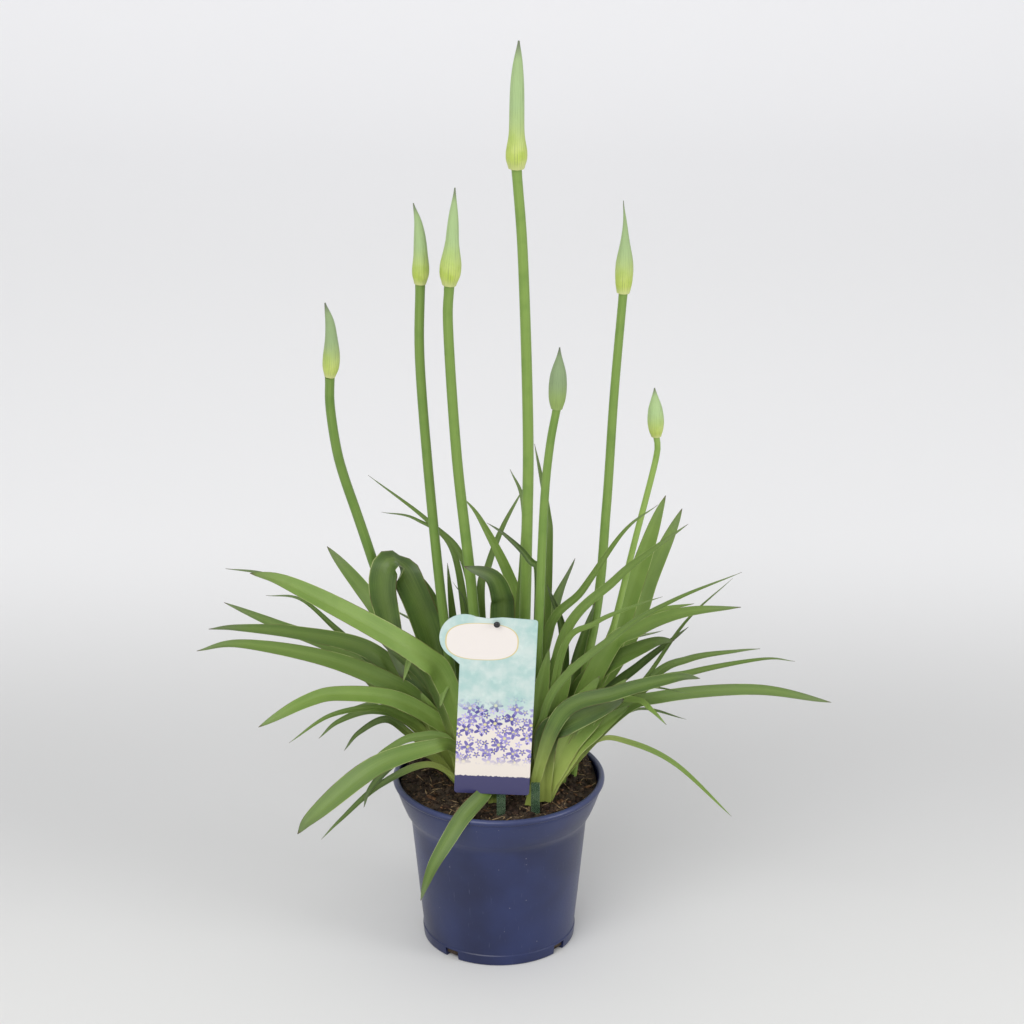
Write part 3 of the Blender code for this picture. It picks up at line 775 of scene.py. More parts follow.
def round_section(t, given):
    """A round profile with faint ribs, which carries its turn round the stalk."""
    circle = t.circle(STALK_SIDES)
    turn = t.put("GeometryNodeSplineParameter")
    circle, around = t.catch(circle, Turn=turn)
    wave = t.calc("SINE", t.times(turn, 2 * math.pi * RIBS))
    grow = t.calc("MULTIPLY_ADD", wave, given["Channel"], 1.0)
    moved = t.scaled(t.put("GeometryNodeInputPosition"), grow)
    return t.put("GeometryNodeSetPosition", {"Geometry": circle, "Position": moved}), around, around


STALK_TREE = make_sweep("round_stalk", round_section)
print("stalk tree:", STALK_TREE.name, "with", RIBS, "ribs")

# %% [markdown]
# Each stem is written as a leaf is. A bud sits on the end of its stem, leans
# along its own spine and takes its girth from an outline read off.

# %% Stems and buds
# foot, depth, diameter at foot and top, tone, route
STEMS = [
    ((-46, 30), 10, 8.5, 7.3, 0.3, [(-78, 259), (-107, 357), (-120, 400), (-125.5, 425), (-129.3, 458),
     (-129, 481)]),
    ((-30, 8), 0, 8.0, 7.4, 0.35, [(-46, 306), (-55, 414), (-60, 498), (-59, 556)]),
    ((-8, -2), -10, 8.8, 7.6, 0.45, [(-21, 302), (-32, 414), (-38, 519), (-37, 555)]),
    ((18, 8), 8, 9.6, 7.6, 0.55, [(22, 339), (23, 436), (19, 574), (14, 647)]),
    ((27, -30), -30, 8.4, 6.2, 0.4, [(33, 306), (36, 382), (40, 425), (45, 455)]),
    ((50, -6), -4, 8.0, 6.6, 0.45, [(76, 276), (84, 372), (89, 466), (95, 549)]),
    ((60, 4), 10, 5.4, 4.8, 0.85, [(88, 259), (106, 342), (122, 414), (122, 432)]),
]
# bud middle, bud tip, width, curl of the tip, tone, and the girth of its case
# along its length: (how far, share of the widest)
BUDS = [
    ((-125, 510), (-130, 541), 13.5, -1.5, 0.4, [(0, 0.55), (0.08, 0.88), (0.2, 1), (0.33, 0.95),
     (0.45, 0.8), (0.58, 0.66), (0.72, 0.55), (0.84, 0.38), (0.93, 0.2), (1, 0.04)]),
    ((-57, 590), (-62, 620), 13.5, -1.5, 0.7, [(0, 0.6), (0.06, 0.88), (0.15, 1), (0.24, 0.93), (0.33, 0.81),
     (0.47, 0.74), (0.6, 0.63), (0.72, 0.48), (0.82, 0.33), (0.92, 0.16), (1, 0.04)]),
    ((-34, 592), (-32.5, 632), 17, 0.3, 0.75, [(0, 0.55), (0.06, 0.86), (0.17, 1), (0.26, 0.92),
     (0.34, 0.77), (0.45, 0.6), (0.6, 0.53), (0.75, 0.4), (0.88, 0.2), (1, 0.04)]),
    ((14, 690), (15, 745), 17, 0.6, 0.7, [(0, 0.62), (0.03, 0.86), (0.08, 0.97), (0.125, 1), (0.18, 0.92),
     (0.25, 0.75), (0.3, 0.69), (0.4, 0.67), (0.55, 0.66), (0.68, 0.62), (0.8, 0.5), (0.9, 0.33),
     (0.96, 0.15), (1, 0.04)]),
    ((46, 480), (47, 505), 14, 0.0, 0.15, [(0, 0.6), (0.1, 0.86), (0.22, 0.97), (0.38, 1), (0.55, 0.9),
     (0.68, 0.68), (0.8, 0.4), (0.9, 0.2), (1, 0.05)]),
    ((96.5, 585), (95.5, 622), 14, -1.2, 0.6, [(0, 0.68), (0.08, 0.9), (0.2, 0.98), (0.28, 1), (0.38, 0.88),
     (0.5, 0.62), (0.62, 0.4), (0.74, 0.24), (0.88, 0.1), (1, 0.03)]),
    ((121, 452), (120, 472), 13, 0.0, 0.85, [(0, 0.57), (0.12, 0.85), (0.28, 1), (0.42, 0.97), (0.58, 0.85),
     (0.72, 0.6), (0.85, 0.32), (1, 0.05)]),
]


def soft_girth(outline, t, width=0.05):
    """The outline's girth, with its corners rounded off."""
    xs, ys = zip(*outline)
    spots = [min(max(t + d * width, 0), 1) for d in (-1, -0.5, 0, 0.5, 1)]
    return sum(float(np.interp(spot, xs, ys)) for spot in spots) / 5


def stalk(name, points, share, width, rib, tone, material):
    """A round sweep along points."""
    facing = [way.cross(Vector((1, 0, 0))).normalized() for way in tangents(points)]
    values = {"Half Width": width * MM / 2, "Channel": rib, "Tone": tone, "Material": material}
    return evaluate(path_mesh(points, facing, share), STALK_TREE, values, name)


for number, (stem_facts, bud_facts) in enumerate(zip(STEMS, BUDS), 1):
    foot, depth, low, high, tone, route = stem_facts
    points = curve_points(leaf_knots(foot, depth, route), STEM_STATIONS)
    share = [1 + (high / low - 1) * i / (STEM_STATIONS - 1) for i in range(STEM_STATIONS)]
    share[-1] *= STEM_FLARE
    stem = stalk(f"flower_stem_{number}", points, share, low, STEM_RIB, tone, STEM)
    finish_piece(stem, "stem_green", f"stem_{number}")
    seat = points[-1] + tangents(points)[-1] * GAP
    middle, tip, width, curl, tone, outline = bud_facts
    middle, tip = along_sight(*middle, depth), along_sight(*tip, depth)
    stations = [i / (BUD_STATIONS - 1) for i in range(BUD_STATIONS)]
    points = []
    for t in stations:
        spine = seat.lerp(middle, t).lerp(middle.lerp(tip, t), t)
        points.append(spine + Vector((curl * MM * smooth((t - CURL_FROM) / (1 - CURL_FROM)) ** 2, 0, 0)))
    share = [soft_girth(outline, t) for t in stations]
    bud = stalk(f"flower_bud_{number}", points, share, width, BUD_RIB, tone, BUD)
    finish_piece(bud, "bud_green", f"bud_{number}")
print("stems with buds:", len(STEMS))

# %% [markdown]
# ## The pot
# A thin moulded pot has a rolled lip, a flared band under it, a soft shoulder
# and a slightly tapered body with a faint line above its foot. It is turned
# from one profile, finer than the frame's, and the drain slots are cut from it.

# %% Pot sizes
POT_FOOT_R = 60 * MM
POT_LIP_R = 85 * MM
POT_HEIGHT = 142 * MM
POT_WALL = 1.6 * MM
POT_FLOOR = 2.4 * MM
POT_HUB = 1 * MM
LIP_ROLL = 2.6 * MM
INNER_FROM = 7 * MM
SLOT_WIDTH = 12.5 * MM
SLOT_HEIGHT = 8 * MM
SLOT_DEPTH = 9 * MM
SLOT_ANGLES = (-98, -38, 52, 112, 187)
POT_SIDES = 160
SHARP_FROM = math.radians(38)
# Outer wall from the foot up: radius and height in mm
POT_WALL_LINE = [(60.2, 0), (61.2, 0.9), (61.9, 7.6), (61.9, 8.8), (61.3, 9.5), (61.3, 10.2), (64.3, 40),
                 (67.5, 73), (70.4, 103), (70.9, 106.5), (72, 109.5), (74.4, 112.6), (75.4, 114.5),
                 (78.8, 123), (82.2, 133), (83.1, 136)]


print("pot:", round(2 * POT_LIP_R / MM), "mm across,", round(POT_HEIGHT / MM), "mm high")

# %% [markdown]
# The pot, the soil, the card, the stakes and the peg are all loops of points
# with faces between them, so they share the same few helpers.

# %% Helpers for shapes made of loops


def arc(cx, cz, radius, start, stop, steps):
    """Points along an arc, from one angle to another in degrees."""
    turns = [math.radians(start + (stop - start) * i / steps) for i in range(steps + 1)]
    return [(cx + radius * math.cos(turn), cz + radius * math.sin(turn)) for turn in turns]


def round_loop(bm, sides, radius, height):
    """Points round the pot's axis. The height is a number or a rule for (x, y)."""
    loop = []
    for k in range(sides):
        turn = 2 * math.pi * k / sides
        x, y = radius * math.cos(turn), radius * math.sin(turn)
        loop.append(bm.verts.new((x, y, height(x, y) if callable(height) else height)))
    return loop


def skin(bm, loops, upward=True):
    """Faces between loops, all the way round."""
    for low, high in zip(loops, loops[1:]):
        for k in range(len(low)):
            m = (k + 1) % len(low)
            bm.faces.new((low[k], low[m], high[m], high[k]) if upward else (low[k], high[k], high[m], low[m]))


def shade(mesh):
    """Smooth faces that meet at sharp edges where they turn far enough."""
    mesh.shade_smooth()
    mesh.set_sharp_from_angle(angle=SHARP_FROM)


def object_from(bm, name, material):
    mesh = bpy.data.meshes.new(name)
    bm.to_mesh(mesh)
    bm.free()
    shade(mesh)
    mesh.materials.append(material)
    return add_object(name, mesh)


print("loop helpers ready, edges are sharp from", round(math.degrees(SHARP_FROM)), "degrees")

# %% [markdown]
# The plastic is dark slate blue with a satin sheen, a little dust, a few fine
# scratches and a painted highlight along the top of its lip. The slots are cut by
# boxes that stand round the foot.

# %% Pot finish and shape


def make_pot_material():
    t, wire = new_material("pot_plastic", 0.34, Specular_IOR_Level=0.5)
    dust, scratch = t.use(SPECKS, Scale=230, Size=0.11, Share=0.05)
    soft, grain = t.use(MOTTLE, Scale=16, Fine=1300)
    height = t.put("SeparateXYZ", {0: t.place()}, 2)
    colour = t.layers(
        t.mix(t.ramp(soft, 0.3, 0.7), (23, 31, 67), (34, 45, 89)),
        (t.times(scratch, 0.25), (92, 98, 126)),
        (t.times(dust, 0.4), (150, 150, 160)),
        # Painted highlight: the top of the rolled lip is coloured a lighter blue.
        (t.ramp(height, 0.1385, 0.142, 0, 0.35), (84, 92, 132)))
    rough = t.calc("ADD", t.ramp(grain, 0.3, 0.7, 0.28, 0.38), t.times(dust, 0.2))
    return wire(colour, rough, grain, 0.0001, 0.35)


POT = make_pot_material()
outer = [(r * MM, z * MM) for r, z in POT_WALL_LINE]
lip = arc(POT_LIP_R - LIP_ROLL, POT_HEIGHT - LIP_ROLL, LIP_ROLL, -75, 195, 18)
inner = [(r - POT_WALL, max(z, POT_FLOOR)) for r, z in reversed(outer) if z > INNER_FROM]
profile = [(POT_HUB, 0)] + outer + lip + inner + [(POT_FOOT_R - POT_WALL, POT_FLOOR), (POT_HUB, POT_FLOOR)]
pot_bm = bmesh.new()
loops = [round_loop(pot_bm, POT_SIDES, radius, height) for radius, height in profile]
skin(pot_bm, loops)
pot_bm.faces.new(loops[0][::-1])
pot_bm.faces.new(loops[-1])
bmesh.ops.recalc_face_normals(pot_bm, faces=pot_bm.faces)
pot = object_from(pot_bm, "grower_pot", POT)
cutter_bm = bmesh.new()
for degrees in SLOT_ANGLES:
    cube = bmesh.ops.create_cube(cutter_bm, size=1)["verts"]
    bmesh.ops.scale(cutter_bm, vec=(SLOT_DEPTH, SLOT_WIDTH, 2 * SLOT_HEIGHT), verts=cube)
    bmesh.ops.translate(cutter_bm, vec=(POT_FOOT_R, 0, 0), verts=cube)
    turn = Matrix.Rotation(math.radians(degrees - 90), 3, "Z")
    bmesh.ops.rotate(cutter_bm, verts=cube, matrix=turn)
cutter = object_from(cutter_bm, "slot_cutter", POT)
cut = pot.modifiers.new("slots", "BOOLEAN")
cut.operation = "DIFFERENCE"
cut.object = cutter
graph = bpy.context.evaluated_depsgraph_get()
cut_mesh = bpy.data.meshes.new_from_object(pot.evaluated_get(graph), depsgraph=graph)
pot.modifiers.clear()
pot.data = cut_mesh
bpy.data.objects.remove(cutter)
shade(cut_mesh)
finish_piece(pot, "pot_plastic", "pot")
print("pot:", len(cut_mesh.polygons), "faces,", len(SLOT_ANGLES), "drain slots")

# %% [markdown]
# ## The soil
# Peat is heaped a little above the rim at the back and sinks below the lip at
# the front. The surface is a disc of rings pushed up and down by noise. Then a
# second tree scatters crumbs over it: small lumps, chips of bark and pale
# fibres, each a few faces only, and all turned into plain mesh at the end.

# %% Soil block
SOIL_RINGS = 60
SOIL_SIDES = 150
SOIL_EDGE = 78.6 * MM
SOIL_LEVEL = 132.5
SOIL_DOME, SOIL_BACK = 7, 9
# Heights in mm down the inside of the pot, under the surface
SOIL_WALL = (124, 105, 96, 73, 40, 9, 3)
# Small heaps beside the crowns: place, height and spread in mm
SOIL_HEAPS = [(62, 30, 9, 16), (-58, 34, 8, 14)]
# Lumps, grit and grains: height in mm, how fine, and where the noise is cut
SOIL_LUMPS = [(4.5, 75, 0.3), (2.6, 220, 1.7), (1.2, 520, 4.1)]


def soil_height(x, y):
    """Height of the soil: lower at the front, heaped at the back and sides."""
    radius = math.hypot(x, y) / SOIL_EDGE
    back = smooth((y / SOIL_EDGE + 0.5) / 1.4)
    base = SOIL_LEVEL + SOIL_DOME * (1 - radius ** 2) + SOIL_BACK * back * (1 - 0.5 * radius ** 4)
    heaps = sum(high * math.exp(-((x / MM - across) ** 2 + (y / MM - deep) ** 2) / (2 * wide ** 2))
                for across, deep, high, wide in SOIL_HEAPS)
    lumps = sum(high * noise.noise(Vector((x, y, cut)) * fine) for high, fine, cut in SOIL_LUMPS)
    edge = smooth((1 - radius) / 0.08)
    return (base + heaps * (0.4 + 0.6 * edge) + lumps * (0.35 + 0.65 * edge)) * MM


def wall_radius(height):
    """Radius of the pot's inside at a height in mm, less a gap."""
    rs, zs = zip(*POT_WALL_LINE)
    return float(np.interp(height, zs, rs)) * MM - POT_WALL - GAP


def make_soil_material():
    t, wire = new_material("peat", 0.95, Specular_IOR_Level=0.25)
    soft, grain = t.use(MOTTLE, Scale=160, Fine=1400)
    dust = t.use(SPECKS, Scale=420, Size=0.2, Share=0.1)[0]
    colour = t.layers(
        t.mix(t.ramp(soft, 0.35, 0.7), (50, 43, 36), (82, 70, 58)),
        (t.ramp(grain, 0.6, 0.75, 0, 0.7), (104, 82, 64)),
        (t.times(dust, 0.6), (150, 128, 100)))
    return wire(colour, None, t.calc("ADD", soft, grain), 0.0012, 0.9)


PEAT = make_soil_material()
soil_bm = bmesh.new()
centre = soil_bm.verts.new((0, 0, soil_height(0, 0)))
rings = [round_loop(soil_bm, SOIL_SIDES, SOIL_EDGE * ring / SOIL_RINGS, soil_height)
         for ring in range(1, SOIL_RINGS + 1)]
rings += [round_loop(soil_bm, SOIL_SIDES, wall_radius(height), height * MM) for height in SOIL_WALL]
for k in range(SOIL_SIDES):
    soil_bm.faces.new((centre, rings[0][k], rings[0][(k + 1) % SOIL_SIDES]))
skin(soil_bm, rings, upward=False)
soil_bm.faces.new(rings[-1][::-1])
bmesh.ops.recalc_face_normals(soil_bm, faces=soil_bm.faces)
soil = object_from(soil_bm, "potting_soil", PEAT)
soil.data.shade_smooth()
finish_piece(soil, "peat", "soil")
print("soil:", len(soil.data.polygons), "faces")

# %% [markdown]
# The crumbs need a surface to lie on, and it must be the soil's top only. A
# coarse square grid at the soil's height is the ground of the scatter tree.

# %% Scattered crumbs, bark and fibres
GROUND_STEPS = 36
GROUND_EDGE = SOIL_EDGE - 1.5 * MM
CRUMB_ROUGHNESS = 900.0


def ground_mesh():
    """The soil's upper surface inside the lip, coarse."""
    bm = bmesh.new()
    grid = {}
    for i in range(-GROUND_STEPS, GROUND_STEPS + 1):
        for j in range(-GROUND_STEPS, GROUND_STEPS + 1):
            x, y = i / GROUND_STEPS * SOIL_EDGE, j / GROUND_STEPS * SOIL_EDGE
            if math.hypot(x, y) < GROUND_EDGE:
                grid[i, j] = bm.verts.new((x, y, soil_height(x, y)))
    for (i, j), vert in grid.items():
        corners = [vert, grid.get((i + 1, j)), grid.get((i + 1, j + 1)), grid.get((i, j + 1))]
        if None not in corners:
            bm.faces.new(corners)
    mesh = bpy.data.meshes.new("soil_ground")
    bm.to_mesh(mesh)
    bm.free()
    return mesh


def make_crumb_material(name, dark, light):
    t, wire = new_material(name, 0.9, Specular_IOR_Level=0.25)
    soft, grain = t.use(MOTTLE, Scale=260, Fine=1800)
    return wire(t.mix(t.ramp(soft, 0.35, 0.65), dark, light), None, grain, 0.0006, 0.8)


def make_scatter():
    """Pieces scattered on the ground mesh, stretched and turned at random."""
    t, given, gives = new_group(
        "crumbs", "GeometryNodeTree",
        [("Geometry", NGEO, None), ("Density", FLOAT, 20000.0), ("Size", FLOAT, 0.001),
         ("Long", FLOAT, 1.0), ("Flat", FLOAT, 0.6), ("Lift", FLOAT, 0.0), ("Material", NMAT, None),
         ("Seed", "NodeSocketInt", 1)], [("Geometry", NGEO)])
    spread = t.put("GeometryNodeDistributePointsOnFaces",
                   {"Mesh": given["Geometry"], "Density": given["Density"], "Seed": given["Seed"]}, "Points")
    lump = t.put("GeometryNodeMeshIcoSphere", {"Radius": 1.0, "Subdivisions": 1})
    spin = t.put("FunctionNodeRandomValue", {0: (-0.5, -0.5, 0.0), 1: (0.5, 0.5, 6.28), "Seed": 3},
                 data_type="FLOAT_VECTOR")
    scale = t.put("FunctionNodeRandomValue", {2: 0.45, 3: 1.5, "Seed": 5}, 1, data_type="FLOAT")
    stretch = t.put("CombineXYZ", {0: given["Long"], 1: 1.0, 2: given["Flat"]})
    placed = t.put("GeometryNodeInstanceOnPoints",
                   {"Points": spread, "Instance": lump, "Rotation": spin,
                    "Scale": t.scaled(stretch, t.times(scale, given["Size"]))})
    real = t.put("GeometryNodeRealizeInstances", {"Geometry": placed})
    where = t.scaled(t.put("GeometryNodeInputPosition"), CRUMB_ROUGHNESS)
    rough = t.put("TexNoise", {"Vector": where, "Scale": 1.0}, "Color")
    bend = t.put("VectorMath", {0: rough, 1: (-0.5, -0.5, -0.5)}, operation="ADD")
    lift = t.put("CombineXYZ", {2: given["Lift"]})
    offset = t.put("VectorMath", {0: t.scaled(bend, given["Size"]), 1: lift}, operation="ADD")
    return t.finish(t.put("GeometryNodeSetPosition", {"Geometry": real, "Offset": offset}), given, gives)


SCATTER = make_scatter()
# name, inputs of the tree, dark and light colour
CRUMB_KINDS = [
    ("peat_crumbs", dict(Density=110000, Size=0.0011, Long=1.3, Flat=0.7, Seed=11),
     (34, 26, 21), (92, 74, 58)),
    ("peat_lumps", dict(Density=9000, Size=0.0026, Long=1.4, Flat=0.7, Seed=12),
     (36, 27, 21), (64, 48, 38)),
    ("bark_chips", dict(Density=7000, Size=0.0017, Long=2.4, Flat=0.35, Seed=13),
     (66, 44, 30), (134, 100, 70)),
    ("peat_fibres", dict(Density=14000, Size=0.00045, Long=11.0, Flat=0.6, Lift=0.0006, Seed=14),
     (96, 76, 54), (170, 146, 110)),
]
for name, values, dark, light in CRUMB_KINDS:
    values["Material"] = make_crumb_material(name, dark, light)
    crumbs = evaluate(ground_mesh(), SCATTER, values, name)
    finish_piece(crumbs, "peat")
    print(name, len(crumbs.data.polygons), "faces")

# %% [markdown]
# ## The label
# The card is a thin printed plastic plate with a round lobe at its upper left.
# Its print is plain and generic: a pale watercolour sky, an empty cream panel
# with a fine gold rim, a loose border of small violet florets, and a navy band
# with a torn edge. It is drawn with shader nodes from the card's own UV map,
# which runs in millimetres from the middle of its foot.

# %% Label card
CARD_FOOT = Vector((-5.5, -62, 155)) * MM
CARD_LEAN = math.radians(2.6)
CARD_WIDTH = 59 * MM
CARD_BODY = 149 * MM
CARD_THICK = 0.8 * MM
CARD_LOBE_R = 19.5 * MM
LOBE_CENTRE = (-CARD_WIDTH / 2 + 3 * MM, CARD_BODY - 15 * MM)
CORNER = 2.5 * MM
RIM_TURN, RIM_ROUND = 1, 0.25
PETALS = 5.0
# Cell scale, size in its cell, darkest and lightest tint
FLORETS = [(0.085, 0.5, (70, 62, 140), (150, 140, 205)), (0.14, 0.42, (92, 84, 160), (186, 176, 222))]
# The oval panel: middle and half size across and up, in mm
PANEL_ACROSS, PANEL_UP = (-13.0, 28.0), (131.0, 15.5)
PANEL_SQUARENESS = 2.6


def card_outline():
    """The card seen from the front, from its lower left corner round."""
    half = CARD_WIDTH / 2
    points = arc(-half + CORNER, CORNER, CORNER, 180, 270, 6)
    points += arc(half - CORNER, CORNER, CORNER, 270, 360, 6)
    points += arc(half - CORNER, CARD_BODY + 2 * MM - CORNER, CORNER, 0, 90, 6)
    points += [(2 * MM, CARD_BODY + 3 * MM), (-9 * MM, CARD_BODY + 1.6 * MM)]
    points += arc(*LOBE_CENTRE, CARD_LOBE_R, 66, 240, 34)
    return points + [(-half, CARD_BODY - 38 * MM)]


def petals(t, uv, scale, size):
    """Petalled florets, one to a cell: their mask, a random shade and a heart."""
    cells = t.put("TexVoronoi", {"Vector": uv, "Scale": scale, "Randomness": 0.75}, None,
                  voronoi_dimensions="2D").outputs
    shade_of_cell = t.put("SeparateColor", {0: cells["Color"]})
    right, up = t.parts(t.put("VectorMath", {0: uv, 1: cells["Position"]}, operation="SUBTRACT"))
    spun = t.calc("MULTIPLY_ADD", t.calc("ARCTAN2", up, right), PETALS, t.times(shade_of_cell, 6.3))
    reach = t.calc("MULTIPLY_ADD", t.calc("COSINE", spun), 0.32, 0.68)
    mask = t.ramp(t.calc("SUBTRACT", cells["Distance"], t.times(reach, size)), 0.03, -0.03)
    return mask, shade_of_cell, t.ramp(cells["Distance"], size * 0.3, size * 0.15)


def make_card_material():
    t, wire = new_material("printed_card", 0.32, Coat_Weight=0.3, Coat_Roughness=0.2)
    uv, x, z = t.uv()
    wash = t.noise(uv, 0.045, 5.0, 0.6)
    blot = t.noise(uv, 0.16, 3.0)
    sky = t.layers(t.mix(t.ramp(wash, 0.35, 0.65), (164, 196, 192), (196, 211, 207)),
                   (t.ramp(blot, 0.5, 0.8, 0, 0.4), (214, 228, 222)))
    paper = t.mix(t.ramp(t.calc("MULTIPLY_ADD", wash, 14.0, z), 86, 62), sky, (226, 217, 208))
    border = t.times(t.ramp(z, 24, 34), t.ramp(t.calc("MULTIPLY_ADD", wash, 30.0, z), 100, 84))
    for scale, size, dark, light in FLORETS:
        mask, tint_share, heart = petals(t, uv, scale, size)
        tint = t.layers(t.mix(tint_share, dark, light), (heart, (214, 206, 150)))
        paper = t.mix(t.times(mask, border), paper, tint)
    ways = []
    for at, (middle, half) in ((x, PANEL_ACROSS), (z, PANEL_UP)):
        off = t.calc("ABSOLUTE", t.calc("DIVIDE", t.calc("SUBTRACT", at, middle), half))
        ways.append(t.calc("POWER", off, PANEL_SQUARENESS))
    oval = t.calc("ADD", *ways)
    torn = t.calc("MULTIPLY_ADD", t.noise(uv, 0.5, 4.0), 3.0, z)
    paper = t.layers(
        paper,
        (t.ramp(oval, 1.06, 1.0), (208, 190, 130)),
        (t.ramp(oval, 0.97, 0.92), (226, 219, 214)),
        (t.ramp(torn, 17.4, 16.8), (54, 52, 96)))
    dust = t.use(SPECKS, Scale=500, Size=0.1, Share=0.06)[0]
    return wire(paper, t.calc("MULTIPLY_ADD", dust, 0.3, 0.3), blot, 0.0001, 0.1)


CARD = make_card_material()


def add_plate(name, outline, thick, place, lean, material):
    """An upright plate with a UV map in millimetres, set in its place."""
    bm = bmesh.new()
    layer = bm.loops.layers.uv.new("UVMap")
    front, back = [[bm.verts.new((x, y, z)) for x, z in outline] for y in (0, thick)]
    bm.faces.new(front)
    bm.faces.new(back[::-1])
    skin(bm, [front, back], upward=False)
    bmesh.ops.recalc_face_normals(bm, faces=bm.faces)
    rim = [e for e in bm.edges if e.calc_face_angle(0) > RIM_TURN]
    bmesh.ops.bevel(bm, geom=rim, offset=thick * RIM_ROUND, segments=2, affect="EDGES", clamp_overlap=True)
    for face in bm.faces:
        for corner in face.loops:
            corner[layer].uv = (corner.vert.co.x / MM, corner.vert.co.z / MM)
    for vert in bm.verts:
        x, z = vert.co.x, vert.co.z
        vert.co.x = x * math.cos(lean) + z * math.sin(lean) + place.x
        vert.co.z = z * math.cos(lean) - x * math.sin(lean) + place.z
        vert.co.y += place.y
    bmesh.ops.triangulate(bm, faces=[f for f in bm.faces if len(f.verts) > 4])
    return object_from(bm, name, material)


card = add_plate("plant_label", card_outline(), CARD_THICK, CARD_FOOT, CARD_LEAN, CARD)
finish_piece(card, "printed_card", "label_card")
print("label card", round(CARD_WIDTH / MM), "by", round(CARD_BODY / MM), "mm")

# %% [markdown]
# ## Stakes and peg
# The card hangs on a clear green stake with fine ribs, by a black peg with a
# domed head. A second, short piece of stake stands beside the card's right edge.

# %% Stakes and peg
STAKE_WIDTH = 7 * MM
STAKE_THICK = 2.2 * MM
STAKE_TOP = 305 * MM
STAKE_RIBS, RIB_STEPS = 5, 6
RIB_DEPTH = 0.35 * MM
SIDE_STAKE_HEIGHT = 25 * MM
# Left, y and how deep each stake stands in the soil
POST_PLACE = (2 * MM, CARD_FOOT.y + CARD_THICK + GAP, 6 * MM)
SIDE_PLACE = (29 * MM, -60.4 * MM, 8 * MM)
PEG_R = 2.5 * MM
PEG_LENGTH = 4 * MM
PEG_SIDES = 32
PEG_PLACE = (-1 * MM, CARD_FOOT.y - GAP - PEG_LENGTH, STAKE_TOP - 3 * MM)
# Shares of the peg's radius and length, from its head back
PEG_PROFILE = [(0.15, 0.0), (0.6, 0.04), (0.85, 0.14), (1.0, 0.32), (1.0, 0.42), (0.62, 0.5), (0.6, 1.0),
               (0.15, 1.0)]


def make_stake_material():
    t, wire = new_material("clear_stake", 0.25, Transmission_Weight=0.6, IOR=1.49)
    soft, grain = t.use(MOTTLE, Scale=120, Fine=1500)
    colour = t.mix(t.ramp(soft, 0.3, 0.7), (84, 116, 90), (128, 152, 122))
    return wire(colour, t.ramp(grain, 0.3, 0.7, 0.2, 0.34), grain, 0.0001, 0.3)


def make_peg_material():
    t, wire = new_material("peg_black", 0.35)
    soft, grain = t.use(MOTTLE, Scale=300, Fine=2500)
    colour = t.mix(soft, (18, 18, 20), (38, 38, 42))
    return wire(colour, t.ramp(grain, 0.3, 0.7, 0.3, 0.42), grain, 0.0001, 0.3)


STAKE = make_stake_material()
PEG = make_peg_material()


def ribbed_stake(name, place, high):
    """A bar with fine ribs down its front."""
    left, y, depth = place
    half = STAKE_WIDTH / 2
    outline = [(-half, STAKE_THICK), (half, STAKE_THICK)]
    steps = STAKE_RIBS * RIB_STEPS
    for k in range(steps + 1):
        rib = RIB_DEPTH * (1 + math.cos(2 * math.pi * k / RIB_STEPS))
        outline.append((half - STAKE_WIDTH * k / steps, rib))
    bm = bmesh.new()
    bottom, top = [[bm.verts.new((left + x, y + d, z)) for x, d in outline] for z in (SEAT - depth, high)]
    bm.faces.new(bottom)
    bm.faces.new(top[::-1])
    skin(bm, [bottom, top])
    bmesh.ops.recalc_face_normals(bm, faces=bm.faces)
    return object_from(bm, name, STAKE)


finish_piece(ribbed_stake("label_post", POST_PLACE, STAKE_TOP), "clear_stake", "label_stake")
finish_piece(ribbed_stake("side_post", SIDE_PLACE, SEAT + SIDE_STAKE_HEIGHT), "clear_stake", "side_stake")

peg_bm = bmesh.new()
loops = []
for radius, back in PEG_PROFILE:
    turns = [2 * math.pi * k / PEG_SIDES for k in range(PEG_SIDES)]
    loops.append([peg_bm.verts.new((PEG_R * radius * math.cos(turn), back * PEG_LENGTH,
                                    PEG_R * radius * math.sin(turn))) for turn in turns])
skin(peg_bm, loops)
peg_bm.faces.new(loops[0])
peg_bm.faces.new(loops[-1])
bmesh.ops.recalc_face_normals(peg_bm, faces=peg_bm.faces)
bmesh.ops.translate(peg_bm, verts=peg_bm.verts, vec=PEG_PLACE)
finish_piece(object_from(peg_bm, "label_peg_head", PEG), "peg_black", "label_peg")
print("stakes and peg done")
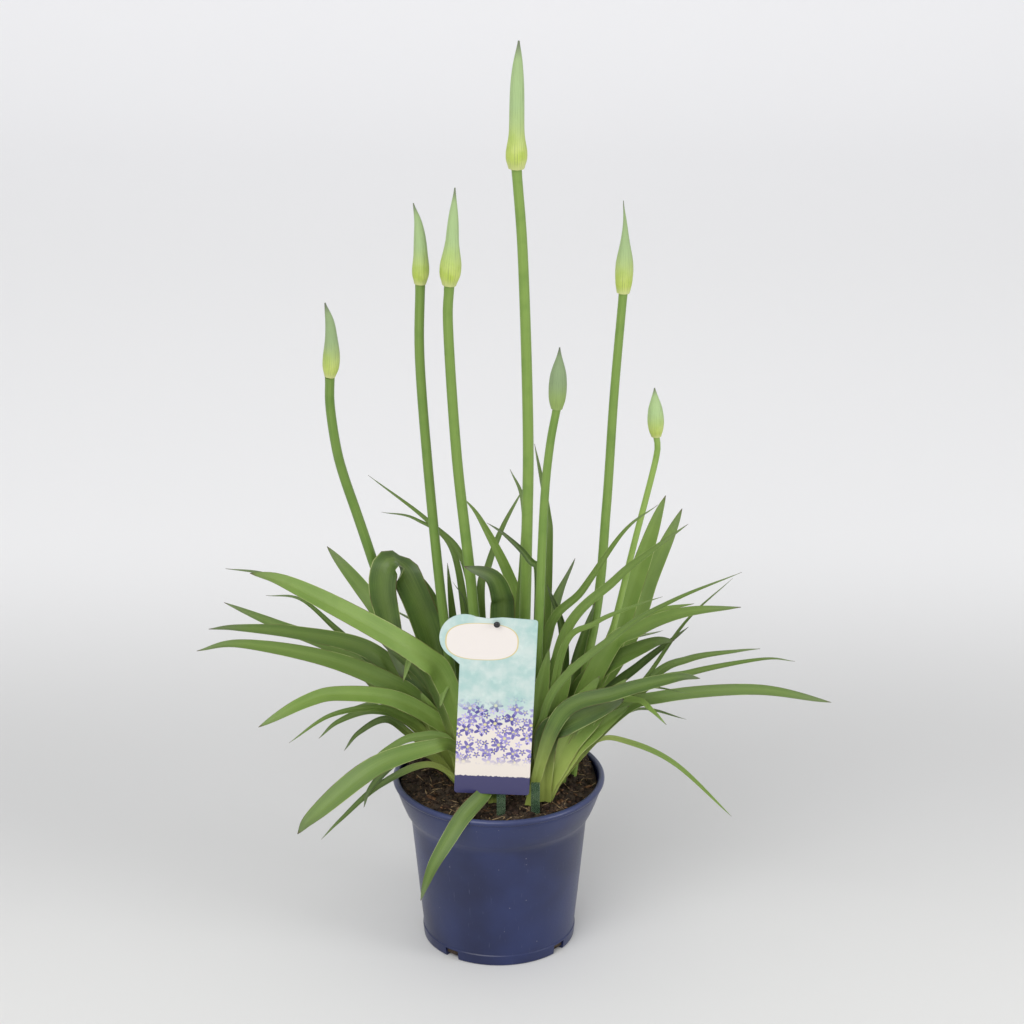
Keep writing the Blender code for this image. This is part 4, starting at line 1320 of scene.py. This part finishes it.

# %% [markdown]
# ## Studio
# The plant stands on a plain pale floor that curves up into the backdrop. Painted
# shade makes the floor a little darker behind the pot, and painted light makes the
# wall lighter upwards.
# A broad soft light from the front left, a weaker fill from the right, a light
# on the wall and an even white sky give the flat light of a catalogue.

# %% Floor and light
FLOOR_FRONT, FLOOR_BACK, FLOOR_HALF, COVE, WALL_TOP = -4.0, 2.2, 5.0, 1.2, 5.0
COVE_STEPS = 16
SKY_STRENGTH = 0.62
# name, place, what it looks at, size, power
LIGHTS = [
    ("key", (-1.1, -2.3, 2.2), (0, 0, 0.3), 2.4, 62),
    ("fill", (2.3, -1.1, 1.1), (0, 0, 0.3), 1.0, 20),
    ("wall", (0, 0.9, 2.6), (0, 3.2, 1.6), 2.0, 11),
]


def make_floor():
    bm = bmesh.new()
    line = [(FLOOR_FRONT, 0), (FLOOR_BACK, 0)]
    for k in range(1, COVE_STEPS + 1):
        turn = math.pi / 2 * k / COVE_STEPS
        line.append((FLOOR_BACK + COVE * math.sin(turn), COVE * (1 - math.cos(turn))))
    line.append((FLOOR_BACK + COVE, WALL_TOP))
    rows = [[bm.verts.new((x, y, z)) for x in (-FLOOR_HALF, FLOOR_HALF)] for y, z in line]
    for low, high in zip(rows, rows[1:]):
        bm.faces.new((low[0], low[1], high[1], high[0]))
    t, wire = new_material("studio_paper", 0.9, Specular_IOR_Level=0.2)
    soft = t.use(MOTTLE, Scale=1.5, Fine=400)[0]
    y = t.put("SeparateXYZ", {0: t.place()}, 1)
    # Painted shade darkens the floor just behind the pot; painted light makes it lighter further back,
    # towards the cove and the wall.
    colour = t.layers(
        t.mix(t.ramp(y, -0.15, 0.3), (221, 221, 220), (208, 208, 208)),
        (t.ramp(y, 0.3, 0.85), (238, 238, 239)),
        (t.ramp(y, 1.6, 2.8), (246, 246, 248)),
        (t.times(soft, 0.1), (232, 233, 235)))
    return object_from(bm, "floor", wire(colour))


make_floor()

world = bpy.data.worlds.new("studio")
world.use_nodes = True
background = world.node_tree.nodes["Background"]
background.inputs["Color"].default_value = (1.0, 1.0, 1.0, 1)
background.inputs["Strength"].default_value = SKY_STRENGTH
bpy.context.scene.world = world
for name, place, aim, size, power in LIGHTS:
    data = bpy.data.lights.new(name, "AREA")
    data.shape = "SQUARE"
    data.size = size
    data.energy = power
    lamp = add_object(name, data)
    lamp.location = place
    lamp.rotation_euler = (Vector(aim) - Vector(place)).to_track_quat("-Z", "Y").to_euler()
print("lights:", len(LIGHTS))
